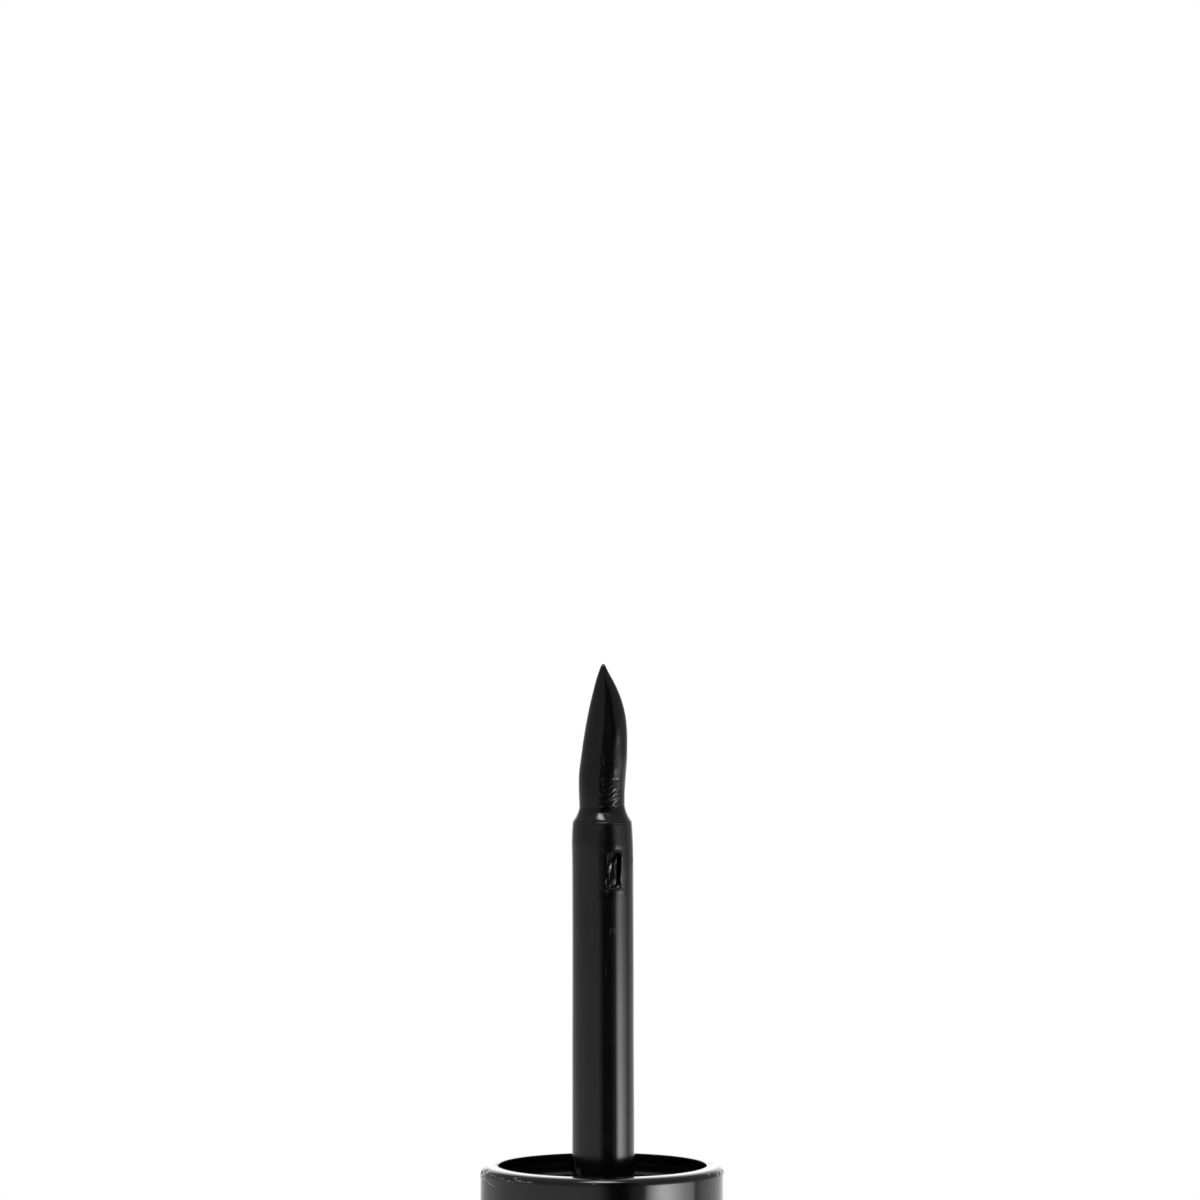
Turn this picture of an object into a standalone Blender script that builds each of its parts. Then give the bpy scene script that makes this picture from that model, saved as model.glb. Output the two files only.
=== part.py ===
"""A liquid eyeliner bottle, opened: the bottle stands on its foot, and beside it the applicator
stands on its cap, with its stem and felt tip pointing up.

The applicator turned over screws onto the bottle's neck. Everything that has to fit then, such as
the thread, the wiper's hole and the depth of the bottle, is worked out from the same sizes.
Metres, +Z up. The origin lies on the surface, midway between the two.
"""

import math

import bmesh
import bpy
from mathutils import Matrix, Vector

MM = 0.001

# The cap's outer shell, which has the bottle's own diameter
BODY_DIAMETER = 13.8 * MM
CAP_LENGTH = 50.0 * MM
CAP_WALL = 1.0 * MM
CAP_END_WALL = 1.6 * MM
CAP_LIP_ROUNDING = 0.42 * MM
CAP_LIP_INNER_ROUNDING = 0.1 * MM
CAP_END_ROUNDING = 0.9 * MM
RIB_COUNT = 6
RIB_WIDTH = 0.8 * MM
RIB_DEPTH = 0.5 * MM
RIB_BITE = 1.2 * MM

# The inner cap, pressed into the shell: it holds the thread and the stem
INNER_CAP_RECESS = 1.0 * MM
INNER_CAP_WALL = 0.7 * MM
INNER_CAP_FLOOR = 1.6 * MM
SOCKET_WALL = 0.8 * MM
SOCKET_LENGTH = 8.0 * MM
STEM_HOLE_CLEARANCE = 0.1 * MM

# The thread that the inner cap and the neck share
THREAD_PITCH = 2.0 * MM
THREAD_DEPTH = 0.45 * MM
THREAD_ROOT_WIDTH = 1.1 * MM
THREAD_CREST_WIDTH = 0.5 * MM
THREAD_CLEARANCE = 0.15 * MM
THREAD_FOOT = 0.2 * MM
THREAD_START = 1.2 * MM
NECK_TURNS = 2.0
CAP_TURNS = 1.5
THREAD_FADE_TURNS = 0.1

# The stem, a hollow wand with a thick plug at its root
STEM_DIAMETER = 3.4 * MM
STEM_WALL = 0.36 * MM
STEM_REACH = 19.4 * MM
STEM_END_INSET = 0.05 * MM
STEM_END_TAPER = 1.6 * MM
STEM_END_ROUNDING = 0.08 * MM
STEM_BORE_DEPTH = 7.5 * MM
PLUG_DIAMETER = 5.2 * MM
PLUG_LENGTH = 6.5 * MM
PLUG_LEAD_IN = 0.4 * MM
WINDOW_WIDTH = 1.02 * MM
WINDOW_HEIGHT = 2.0 * MM
WINDOW_ROUNDING = 0.22 * MM
WINDOW_DROP = 1.7 * MM
WINDOW_TURN = math.radians(24.6)

# The holder, a sleeve that grips the felt and snaps into the stem's window
HOLDER_WALL = 0.25 * MM
HOLDER_LENGTH = 5.6 * MM
HOLDER_DROP = 0.2 * MM
CATCH_WIDTH = 0.68 * MM
CATCH_HEIGHT = 1.4 * MM
CATCH_RISE = 0.3 * MM
CATCH_FOOT = 0.12 * MM
CATCH_TOE_SHARE = 0.25

# The felt tip: its round end, leaning a little to one side, and its shank in the holder
TIP_REACH = 8.94 * MM
TIP_DIAMETER = 2.6 * MM
TIP_SHANK_LENGTH = 6.0 * MM
TIP_RINGS = 15
# Each station is a height, a half width, a half depth and a lean: shares of the reach, then of the radius
TIP_STATION_SHARES = (
    (0.0, 0.99, 0.99, -0.02),
    (0.13, 0.965, 0.96, -0.04),
    (0.32, 1.0, 0.98, -0.01),
    (0.47, 0.965, 0.93, 0.08),
    (0.58, 0.9, 0.85, 0.145),
    (0.66, 0.83, 0.76, 0.17),
    (0.73, 0.715, 0.65, 0.178),
    (0.80, 0.59, 0.53, 0.15),
    (0.87, 0.42, 0.39, 0.12),
    (0.93, 0.235, 0.23, 0.085),
    (0.975, 0.12, 0.12, 0.07),
    (1.0, 0.03, 0.03, 0.066),
)

# The bottle. Its height follows from how far the applicator reaches into it
BOTTLE_WALL = 1.4 * MM
BOTTLE_FLOOR = 1.6 * MM
BOTTLE_FOOT_ROUNDING = 0.7 * MM
BOTTLE_SHOULDER_ROUNDING = 0.45 * MM
BOTTLE_INNER_ROUNDING = 0.8 * MM
BOTTLE_ROOF = 2.0 * MM
BOTTLE_ROOF_SLOPE = 1.7 * MM
FOOT_RING_WIDTH = 2.1 * MM
FOOT_RECESS = 0.4 * MM
LABEL_THICKNESS = 0.15 * MM
NECK_HEIGHT = 9.0 * MM
NECK_WALL = 1.3 * MM
NECK_LIP_ROUNDING = 0.2 * MM
NECK_ROOT_ROUNDING = 0.15 * MM
COLLAR_CLEARANCE = 0.2 * MM
TIP_CLEARANCE = 1.2 * MM
RIM_GAP = 0.3 * MM

# The wiper, pressed into the neck: its lip scrapes the stem as the applicator is drawn out
WIPER_FLANGE = 0.6 * MM
WIPER_FLANGE_INSET = 0.15 * MM
WIPER_WALL = 0.42 * MM
WIPER_SLEEVE_LENGTH = 4.8 * MM
WIPER_CONE_LENGTH = 2.3 * MM
WIPER_LIP_LENGTH = 0.3 * MM
WIPER_LIP_WALL = 0.3 * MM
WIPER_SQUEEZE = 0.08 * MM
WIPER_MOUTH_FLARE = 0.25 * MM
SEAL_GAP = 0.1 * MM

# The ink and the two steel balls that stir it when the bottle is shaken
INK_LEVEL_SHARE = 0.78
MENISCUS_HEIGHT = 0.3 * MM
MENISCUS_WIDTH = 0.7 * MM
BALL_DIAMETER = 3.0 * MM
BALL_SPACING = 3.8 * MM

# How the pieces are drawn and set out
PRESS_GAP = 0.1 * MM
STANDING_GAP = 10.2 * MM
CUT_OVERRUN = 1.0 * MM
MERGE_DISTANCE = 0.001 * MM
BODY_SIDES = 40
STEM_SIDES = 32
BALL_SIDES = 16
BALL_RINGS = 10
ARC_STEPS = 3
SMOOTH_ANGLE = math.radians(35)

# Places that follow from the sizes. Radii run from the shell inwards, as the pieces nest
BODY_RADIUS = BODY_DIAMETER / 2
SHELL_BORE_RADIUS = BODY_RADIUS - CAP_WALL
INNER_CAP_RADIUS = SHELL_BORE_RADIUS - PRESS_GAP
CAP_THREAD_ROOT_RADIUS = INNER_CAP_RADIUS - INNER_CAP_WALL
NECK_THREAD_CREST_RADIUS = CAP_THREAD_ROOT_RADIUS - THREAD_CLEARANCE
NECK_RADIUS = NECK_THREAD_CREST_RADIUS - THREAD_DEPTH
NECK_BORE_RADIUS = NECK_RADIUS - NECK_WALL
STEM_RADIUS = STEM_DIAMETER / 2
STEM_BORE_RADIUS = STEM_RADIUS - STEM_WALL
PLUG_RADIUS = PLUG_DIAMETER / 2
HOLDER_RADIUS = STEM_BORE_RADIUS - PRESS_GAP
SHANK_RADIUS = HOLDER_RADIUS - HOLDER_WALL - PRESS_GAP
TIP_RADIUS = TIP_DIAMETER / 2
BALL_RADIUS = BALL_DIAMETER / 2

# Heights on the applicator, which stands on the closed end of its cap
INNER_CAP_TOP = CAP_LENGTH - INNER_CAP_RECESS
THREAD_CAVITY_DEPTH = NECK_HEIGHT + PRESS_GAP + WIPER_FLANGE + SEAL_GAP - RIM_GAP
INNER_FLOOR_TOP = CAP_LENGTH - THREAD_CAVITY_DEPTH
INNER_FLOOR_BOTTOM = INNER_FLOOR_TOP - INNER_CAP_FLOOR
STEM_TOP = CAP_LENGTH + STEM_REACH
PLUG_TOP = INNER_FLOOR_BOTTOM - PRESS_GAP
HOLDER_TOP = STEM_TOP - HOLDER_DROP
TIP_SEAT = STEM_TOP + PRESS_GAP
TIP_APEX = STEM_TOP + TIP_REACH
WINDOW_CENTRE = STEM_TOP - WINDOW_DROP - WINDOW_HEIGHT / 2

# Heights on the bottle, deep enough to keep the tip clear of the balls when the cap is screwed down
BALL_CENTRE = BOTTLE_FLOOR + PRESS_GAP + BALL_RADIUS
SHOULDER_HEIGHT = BALL_CENTRE + BALL_RADIUS + TIP_CLEARANCE + STEM_REACH + TIP_REACH - RIM_GAP
NECK_TOP = SHOULDER_HEIGHT + NECK_HEIGHT
COLLAR_HEIGHT = RIM_GAP + INNER_CAP_RECESS - COLLAR_CLEARANCE
COLLAR_RADIUS = SHELL_BORE_RADIUS - THREAD_CLEARANCE
INK_LEVEL = SHOULDER_HEIGHT * INK_LEVEL_SHARE
AXIS_SPACING = BODY_DIAMETER + STANDING_GAP


def clear_scene():
    """Empties the file that the script runs in."""
    for thing in list(bpy.data.objects):
        bpy.data.objects.remove(thing, do_unlink=True)


def plain_material(name, colour, roughness, metallic=0.0):
    """A Principled material of one linear colour."""
    material = bpy.data.materials.new(name)
    material.use_nodes = True
    shader = material.node_tree.nodes["Principled BSDF"]
    shader.inputs["Base Color"].default_value = (*colour, 1.0)
    shader.inputs["Roughness"].default_value = roughness
    shader.inputs["Metallic"].default_value = metallic
    return material


def axis_empty(name, x):
    """An upright axis on the surface, which carries the pieces that stand on it."""
    axis = bpy.data.objects.new(name, None)
    axis.location = (x, 0, 0)
    bpy.context.scene.collection.objects.link(axis)
    return axis


def piece(name, bm, parent, material, location=(0, 0, 0)):
    """Turns a bmesh into an object that hangs on its axis, shaded smooth with crisp edges."""
    bmesh.ops.recalc_face_normals(bm, faces=bm.faces)
    mesh = bpy.data.meshes.new(name)
    bm.to_mesh(mesh)
    bm.free()
    mesh.shade_smooth()
    mesh.set_sharp_from_angle(angle=SMOOTH_ANGLE)
    made = bpy.data.objects.new(name, mesh)
    bpy.context.scene.collection.objects.link(made)
    made.parent = parent
    made.location = location
    if material:
        mesh.materials.append(material)
    return made


def join_or_cut(target, other, operation):
    """Adds other to target, or cuts it away, and keeps other as a hidden guide."""
    other.hide_render = True
    other.display_type = "WIRE"
    boolean = target.modifiers.new(other.name, "BOOLEAN")
    boolean.operation = operation
    boolean.object = other


def round_corners(corners):
    """Outline points from (radius, height, rounding) corners, with each rounding as an arc."""
    points = []
    for i, (radius, height, rounding) in enumerate(corners):
        here = Vector((radius, height))
        if not rounding:
            points.append(here)
            continue
        before = (Vector(corners[i - 1][:2]) - here).normalized()
        after = (Vector(corners[(i + 1) % len(corners)][:2]) - here).normalized()
        half = before.angle(after) / 2
        centre = here + (before + after).normalized() * rounding / math.sin(half)
        start = here + before * rounding / math.tan(half) - centre
        sweep = start.angle_signed(here + after * rounding / math.tan(half) - centre)
        for step in range(ARC_STEPS + 1):
            turned = start.copy()
            turned.rotate(Matrix.Rotation(-sweep * step / ARC_STEPS, 2))
            points.append(centre + turned)
    return points


def turned_solid(corners, sides, closed=False):
    """Spins an outline of (radius, height, rounding) corners once round the upright axis.

    An open outline starts and ends on the axis. A closed one is a ring's section."""
    bm = bmesh.new()
    verts = [bm.verts.new((p.x, 0, p.y)) for p in round_corners(corners)]
    pairs = list(zip(verts, verts[1:]))
    if closed:
        pairs.append((verts[-1], verts[0]))
    edges = [bm.edges.new(pair) for pair in pairs]
    bmesh.ops.spin(
        bm,
        geom=verts + edges,
        cent=(0, 0, 0),
        axis=(0, 0, 1),
        angle=2 * math.pi,
        steps=sides,
        use_merge=True,
    )
    bmesh.ops.remove_doubles(bm, verts=bm.verts, dist=MERGE_DISTANCE)
    return bm


def block(width, depth, height, centre):
    """An upright block with its middle at centre."""
    bm = bmesh.new()
    bmesh.ops.create_cube(bm, size=1)
    bmesh.ops.scale(bm, verts=bm.verts, vec=(width, depth, height))
    bmesh.ops.translate(bm, verts=bm.verts, vec=centre)
    return bm


def join_rings(bm, rings):
    """Joins rings of vertices, one after the other, vertex to vertex, and closes both ends."""
    for before, after in zip(rings, rings[1:]):
        for k in range(len(before)):
            bm.faces.new((before[k - 1], before[k], after[k], after[k - 1]))
    bm.faces.new(rings[0])
    bm.faces.new(rings[-1])


def thread_ridge(wall_radius, crest_radius, start_height, turns, sides):
    """One helical ridge on a wall, inward or outward, fading in and out at its ends."""
    bm = bmesh.new()
    outward = 1 if crest_radius > wall_radius else -1
    foot_radius = wall_radius - outward * THREAD_FOOT
    steps = round(turns * sides)
    fade = THREAD_FADE_TURNS * sides
    rings = []
    for step in range(steps + 1):
        height_share = min(1, step / fade, (steps - step) / fade)
        tip_radius = foot_radius + (crest_radius - foot_radius) * height_share
        tip_radius += outward * PRESS_GAP * (1 - height_share)
        angle = 2 * math.pi * step / sides
        middle = start_height + THREAD_PITCH * step / sides
        section = (
            (foot_radius, -THREAD_ROOT_WIDTH / 2),
            (tip_radius, -THREAD_CREST_WIDTH / 2),
            (tip_radius, THREAD_CREST_WIDTH / 2),
            (foot_radius, THREAD_ROOT_WIDTH / 2),
        )
        rings.append(
            [
                bm.verts.new((r * math.cos(angle), r * math.sin(angle), middle + z))
                for r, z in section
            ]
        )
    join_rings(bm, rings)
    return bm


def make_cap_shell(axis):
    """The gloss black outer shell: a deep cup, mouth up, with ribs inside that drive the inner cap."""
    black = plain_material("cap_gloss_black", (0.012, 0.012, 0.012), 0.12)
    corners = (
        (0, 0, 0),
        (BODY_RADIUS, 0, CAP_END_ROUNDING),
        (BODY_RADIUS, CAP_LENGTH, CAP_LIP_ROUNDING),
        (SHELL_BORE_RADIUS, CAP_LENGTH, CAP_LIP_INNER_ROUNDING),
        (SHELL_BORE_RADIUS, CAP_END_WALL, 0),
        (0, CAP_END_WALL, 0),
    )
    shell = piece("cap_shell", turned_solid(corners, BODY_SIDES), axis, black)
    low = CAP_END_WALL - PRESS_GAP
    high = INNER_FLOOR_BOTTOM + RIB_BITE - PRESS_GAP
    inner, outer = SHELL_BORE_RADIUS - RIB_DEPTH, SHELL_BORE_RADIUS + CAP_WALL / 2
    for i in range(RIB_COUNT):
        centre = ((inner + outer) / 2, 0, (low + high) / 2)
        rib = piece(
            f"shell_rib_{i}",
            block(outer - inner, RIB_WIDTH, high - low, centre),
            axis,
            None,
        )
        rib.rotation_euler.z = 2 * math.pi * i / RIB_COUNT
        join_or_cut(shell, rib, "UNION")


def make_inner_cap(axis):
    """The threaded liner: a short cup in the shell's mouth, with a socket below for the stem's plug."""
    satin = plain_material("inner_cap_black", (0.015, 0.015, 0.015), 0.4)
    socket_bore = PLUG_RADIUS + PRESS_GAP
    socket_radius = socket_bore + SOCKET_WALL
    hole = STEM_RADIUS + STEM_HOLE_CLEARANCE
    corners = (
        (INNER_CAP_RADIUS, INNER_FLOOR_BOTTOM, 0),
        (INNER_CAP_RADIUS, INNER_CAP_TOP, 0),
        (CAP_THREAD_ROOT_RADIUS, INNER_CAP_TOP, 0),
        (CAP_THREAD_ROOT_RADIUS, INNER_FLOOR_TOP, 0),
        (hole, INNER_FLOOR_TOP, 0),
        (hole, INNER_FLOOR_BOTTOM, 0),
        (socket_bore, INNER_FLOOR_BOTTOM, 0),
        (socket_bore, INNER_FLOOR_BOTTOM - SOCKET_LENGTH, 0),
        (socket_radius, INNER_FLOOR_BOTTOM - SOCKET_LENGTH, 0),
        (socket_radius, INNER_FLOOR_BOTTOM, 0),
    )
    liner = piece("inner_cap", turned_solid(corners, BODY_SIDES, closed=True), axis, satin)
    ridge_low = THREAD_START + COLLAR_HEIGHT + THREAD_ROOT_WIDTH / 2 - RIM_GAP + THREAD_PITCH / 2
    ridge = thread_ridge(
        CAP_THREAD_ROOT_RADIUS,
        CAP_THREAD_ROOT_RADIUS - THREAD_DEPTH,
        CAP_LENGTH - ridge_low - CAP_TURNS * THREAD_PITCH,
        CAP_TURNS,
        BODY_SIDES,
    )
    join_or_cut(liner, piece("inner_cap_thread", ridge, axis, None), "UNION")
    inner = INNER_CAP_RADIUS - RIB_DEPTH
    outer = INNER_CAP_RADIUS + CUT_OVERRUN
    low, high = INNER_FLOOR_BOTTOM - CUT_OVERRUN, INNER_FLOOR_BOTTOM + RIB_BITE
    for i in range(RIB_COUNT):
        centre = ((inner + outer) / 2, 0, (low + high) / 2)
        notch = piece(
            f"inner_cap_notch_{i}",
            block(outer - inner, RIB_WIDTH + 2 * PRESS_GAP, high - low, centre),
            axis,
            None,
        )
        notch.rotation_euler.z = 2 * math.pi * i / RIB_COUNT
        join_or_cut(liner, notch, "DIFFERENCE")


def make_stem(axis):
    """The satin wand: solid at its root, bored at its end for the felt, with a window in its side."""
    satin = plain_material("stem_satin_black", (0.02, 0.02, 0.02), 0.35)
    end_radius = STEM_RADIUS - STEM_END_INSET
    corners = (
        (0, PLUG_TOP - PLUG_LENGTH, 0),
        (PLUG_RADIUS - PLUG_LEAD_IN, PLUG_TOP - PLUG_LENGTH, 0),
        (PLUG_RADIUS, PLUG_TOP - PLUG_LENGTH + PLUG_LEAD_IN, 0),
        (PLUG_RADIUS, PLUG_TOP, 0),
        (STEM_RADIUS, PLUG_TOP, 0),
        (STEM_RADIUS, STEM_TOP - STEM_END_TAPER, 0),
        (end_radius, STEM_TOP, STEM_END_ROUNDING),
        (STEM_BORE_RADIUS, STEM_TOP, 0),
        (STEM_BORE_RADIUS, STEM_TOP - STEM_BORE_DEPTH, 0),
        (0, STEM_TOP - STEM_BORE_DEPTH, 0),
    )
    stem = piece("stem", turned_solid(corners, STEM_SIDES), axis, satin)
    depth = STEM_WALL + CUT_OVERRUN
    cutter = block(
        WINDOW_WIDTH,
        depth,
        WINDOW_HEIGHT,
        (0, -(STEM_BORE_RADIUS - STEM_WALL + depth / 2), WINDOW_CENTRE),
    )
    across = [e for e in cutter.edges if abs(e.verts[0].co.y - e.verts[1].co.y) > depth / 2]
    bmesh.ops.bevel(
        cutter,
        geom=across,
        offset=WINDOW_ROUNDING,
        segments=ARC_STEPS,
        profile=0.5,
        affect="EDGES",
        material=-1,
    )
    window = piece("stem_window_cutter", cutter, axis, None)
    window.rotation_euler.z = WINDOW_TURN
    join_or_cut(stem, window, "DIFFERENCE")


def make_tip_holder(axis):
    """The sleeve round the felt's shank. Its catch snaps out into the window and stops it pulling off."""
    satin = plain_material("holder_black", (0.01, 0.01, 0.01), 0.25)
    bore = HOLDER_RADIUS - HOLDER_WALL
    corners = (
        (HOLDER_RADIUS, HOLDER_TOP - HOLDER_LENGTH, 0),
        (HOLDER_RADIUS, HOLDER_TOP, 0),
        (bore, HOLDER_TOP, 0),
        (bore, HOLDER_TOP - HOLDER_LENGTH, 0),
    )
    holder = piece("tip_holder", turned_solid(corners, STEM_SIDES, closed=True), axis, satin)
    foot = HOLDER_RADIUS - CATCH_FOOT
    crest = HOLDER_RADIUS + CATCH_RISE
    catch = block(
        CATCH_WIDTH,
        crest - foot,
        CATCH_HEIGHT,
        (0, -(foot + crest) / 2, WINDOW_CENTRE),
    )
    toe = [v for v in catch.verts if v.co.y < -HOLDER_RADIUS and v.co.z < WINDOW_CENTRE]
    bmesh.ops.translate(catch, verts=toe, vec=(0, CATCH_RISE * (1 - CATCH_TOE_SHARE), 0))
    catch_piece = piece("tip_holder_catch", catch, axis, None)
    catch_piece.rotation_euler.z = WINDOW_TURN
    join_or_cut(holder, catch_piece, "UNION")


def station_at(height_share):
    """Half width, half depth and lean of the felt at a height, on a smooth curve through the stations."""
    stations = TIP_STATION_SHARES
    last = len(stations) - 2
    i = min(last, max(k for k in range(last + 1) if stations[k][0] <= height_share))
    around = [stations[max(0, min(last + 1, i + k))] for k in (-1, 0, 1, 2)]
    span = around[2][0] - around[1][0]
    t = (height_share - around[1][0]) / span
    found = []
    for column in (1, 2, 3):
        slopes = []
        for a, b in ((around[0], around[2]), (around[1], around[3])):
            slopes.append((b[column] - a[column]) / (b[0] - a[0]) * span)
        start, end = around[1][column], around[2][column]
        found.append(
            (2 * t**3 - 3 * t**2 + 1) * start
            + (t**3 - 2 * t**2 + t) * slopes[0]
            + (3 * t**2 - 2 * t**3) * end
            + (t**3 - t**2) * slopes[1]
        )
    return found


def ring_of_verts(bm, half_width, half_depth, lean, height):
    """An oval ring of vertices at a height, moved sideways by its lean."""
    ring = []
    for k in range(STEM_SIDES):
        angle = 2 * math.pi * k / STEM_SIDES
        x = lean + half_width * math.cos(angle)
        ring.append(bm.verts.new((x, half_depth * math.sin(angle), height)))
    return ring


def make_felt_tip(axis):
    """The pressed felt: a rod ground to a leaning point, with a thinner shank in the holder."""
    felt = plain_material("felt_inked_black", (0.008, 0.008, 0.008), 0.3)
    bm = bmesh.new()
    rings = [
        ring_of_verts(bm, SHANK_RADIUS, SHANK_RADIUS, 0, TIP_SEAT - TIP_SHANK_LENGTH),
        ring_of_verts(bm, SHANK_RADIUS, SHANK_RADIUS, 0, TIP_SEAT),
    ]
    for step in range(TIP_RINGS + 1):
        # The rings crowd towards the point, where the felt curves most
        height_share = math.sin(math.pi / 2 * step / TIP_RINGS)
        half_width, half_depth, lean = station_at(height_share)
        rings.append(
            ring_of_verts(
                bm,
                TIP_RADIUS * half_width,
                TIP_RADIUS * half_depth,
                TIP_RADIUS * lean,
                TIP_SEAT + (TIP_APEX - TIP_SEAT) * height_share,
            )
        )
    join_rings(bm, rings)
    piece("felt_tip", bm, axis, felt)


def make_bottle(axis):
    """The gloss black bottle: thick walls, a recessed foot, and a threaded neck above a collar."""
    black = plain_material("bottle_gloss_black", (0.012, 0.012, 0.012), 0.12)
    inner_radius = BODY_RADIUS - BOTTLE_WALL
    roof_height = SHOULDER_HEIGHT - BOTTLE_ROOF
    recess_radius = BODY_RADIUS - FOOT_RING_WIDTH
    collar_top = SHOULDER_HEIGHT + COLLAR_HEIGHT
    corners = (
        (0, FOOT_RECESS, 0),
        (recess_radius, FOOT_RECESS, 0),
        (recess_radius, 0, 0),
        (BODY_RADIUS, 0, BOTTLE_FOOT_ROUNDING),
        (BODY_RADIUS, SHOULDER_HEIGHT, BOTTLE_SHOULDER_ROUNDING),
        (COLLAR_RADIUS, SHOULDER_HEIGHT, 0),
        (COLLAR_RADIUS, collar_top, NECK_ROOT_ROUNDING),
        (NECK_RADIUS, collar_top, 0),
        (NECK_RADIUS, NECK_TOP, NECK_LIP_ROUNDING),
        (NECK_BORE_RADIUS, NECK_TOP, 0),
        (NECK_BORE_RADIUS, roof_height + BOTTLE_ROOF_SLOPE, 0),
        (inner_radius, roof_height, 0),
        (inner_radius, BOTTLE_FLOOR, BOTTLE_INNER_ROUNDING),
        (0, BOTTLE_FLOOR, 0),
    )
    bottle = piece("bottle", turned_solid(corners, BODY_SIDES), axis, black)
    ridge = thread_ridge(
        NECK_RADIUS,
        NECK_THREAD_CREST_RADIUS,
        collar_top + THREAD_START + THREAD_ROOT_WIDTH / 2,
        NECK_TURNS,
        BODY_SIDES,
    )
    join_or_cut(bottle, piece("bottle_thread", ridge, axis, None), "UNION")


def make_base_label(axis):
    """The round label in the foot's recess. It is bare."""
    paper = plain_material("label_paper", (0.62, 0.61, 0.58), 0.55)
    radius = BODY_RADIUS - FOOT_RING_WIDTH - PRESS_GAP
    top = FOOT_RECESS - PRESS_GAP
    corners = (
        (0, top - LABEL_THICKNESS, 0),
        (radius, top - LABEL_THICKNESS, 0),
        (radius, top, 0),
        (0, top, 0),
    )
    piece("base_label", turned_solid(corners, BODY_SIDES), axis, paper)


def make_wiper(axis):
    """The soft wiper: a flange on the neck's lip, a sleeve in its bore, and a cone down to the lip."""
    milky = plain_material("wiper_natural", (0.72, 0.72, 0.68), 0.45)
    sleeve = NECK_BORE_RADIUS - PRESS_GAP
    bore = sleeve - WIPER_WALL
    orifice = STEM_RADIUS - WIPER_SQUEEZE
    seat = NECK_TOP + PRESS_GAP
    cone_top = seat - WIPER_SLEEVE_LENGTH
    cone_bottom = cone_top - WIPER_CONE_LENGTH
    flange_radius = NECK_RADIUS - WIPER_FLANGE_INSET
    corners = (
        (flange_radius, seat, 0),
        (flange_radius, seat + WIPER_FLANGE, 0),
        (bore + WIPER_MOUTH_FLARE, seat + WIPER_FLANGE, 0),
        (bore, seat - WIPER_MOUTH_FLARE, 0),
        (bore, cone_top, 0),
        (orifice, cone_bottom, 0),
        (orifice, cone_bottom - WIPER_LIP_LENGTH, 0),
        (orifice + WIPER_LIP_WALL, cone_bottom - WIPER_LIP_LENGTH, 0),
        (sleeve, cone_top, 0),
        (sleeve, seat, 0),
    )
    piece("wiper", turned_solid(corners, BODY_SIDES, closed=True), axis, milky)


def ball_mesh(radius):
    """A ball about the origin."""
    bm = bmesh.new()
    bmesh.ops.create_uvsphere(
        bm, u_segments=BALL_SIDES, v_segments=BALL_RINGS, radius=radius
    )
    return bm


def make_balls_and_ink(axis):
    """Two stirring balls on the bottle's floor, and the ink that fills the bottle round them."""
    steel = plain_material("ball_steel", (0.55, 0.55, 0.55), 0.2, metallic=1.0)
    liquid = plain_material("ink_black", (0.004, 0.004, 0.004), 0.08)
    radius = BODY_RADIUS - BOTTLE_WALL - PRESS_GAP
    corners = (
        (0, BOTTLE_FLOOR + PRESS_GAP, 0),
        (radius, BOTTLE_FLOOR + PRESS_GAP, BOTTLE_INNER_ROUNDING),
        (radius, INK_LEVEL + MENISCUS_HEIGHT, 0),
        (radius - MENISCUS_WIDTH, INK_LEVEL, 0),
        (0, INK_LEVEL, 0),
    )
    ink = piece("ink", turned_solid(corners, BODY_SIDES), axis, liquid)
    for side, name in ((-1, "mixing_ball_left"), (1, "mixing_ball_right")):
        place = (side * BALL_SPACING / 2, 0, BALL_CENTRE)
        piece(name, ball_mesh(BALL_RADIUS), axis, steel, place)
        pocket = piece(f"{name}_pocket", ball_mesh(BALL_RADIUS + PRESS_GAP), axis, None, place)
        join_or_cut(ink, pocket, "DIFFERENCE")


def main():
    """Builds the applicator on the left and the bottle on the right."""
    clear_scene()
    applicator = axis_empty("applicator_axis", -AXIS_SPACING / 2)
    make_cap_shell(applicator)
    make_inner_cap(applicator)
    make_stem(applicator)
    make_tip_holder(applicator)
    make_felt_tip(applicator)
    bottle = axis_empty("bottle_axis", AXIS_SPACING / 2)
    make_bottle(bottle)
    make_base_label(bottle)
    make_wiper(bottle)
    make_balls_and_ink(bottle)


main()
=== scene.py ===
import math

import bmesh
import bpy
from mathutils import Matrix, Vector, noise


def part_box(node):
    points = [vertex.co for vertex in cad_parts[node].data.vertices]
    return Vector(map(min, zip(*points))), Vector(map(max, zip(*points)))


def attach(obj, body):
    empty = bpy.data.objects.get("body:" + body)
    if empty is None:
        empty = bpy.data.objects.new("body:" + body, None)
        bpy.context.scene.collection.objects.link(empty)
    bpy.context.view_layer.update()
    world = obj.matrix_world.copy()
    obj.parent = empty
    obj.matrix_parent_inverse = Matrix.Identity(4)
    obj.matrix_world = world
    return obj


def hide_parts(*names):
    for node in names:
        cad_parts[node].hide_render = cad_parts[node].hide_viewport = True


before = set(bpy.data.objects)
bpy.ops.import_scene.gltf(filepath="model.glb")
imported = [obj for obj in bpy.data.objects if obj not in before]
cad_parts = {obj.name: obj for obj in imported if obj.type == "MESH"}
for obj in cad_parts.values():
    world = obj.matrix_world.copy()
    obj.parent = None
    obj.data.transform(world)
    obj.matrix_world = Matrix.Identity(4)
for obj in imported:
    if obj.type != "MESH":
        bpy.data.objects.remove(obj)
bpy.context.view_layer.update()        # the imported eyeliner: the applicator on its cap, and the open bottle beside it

# The view: the applicator's upper end from the front, through a long lens a little above the felt tip.
# The picture ends just under the cap's rim. Lengths here are millimetres, as in every section below.
MM = 0.001
shell_low, shell_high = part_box("cap_shell")
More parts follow.
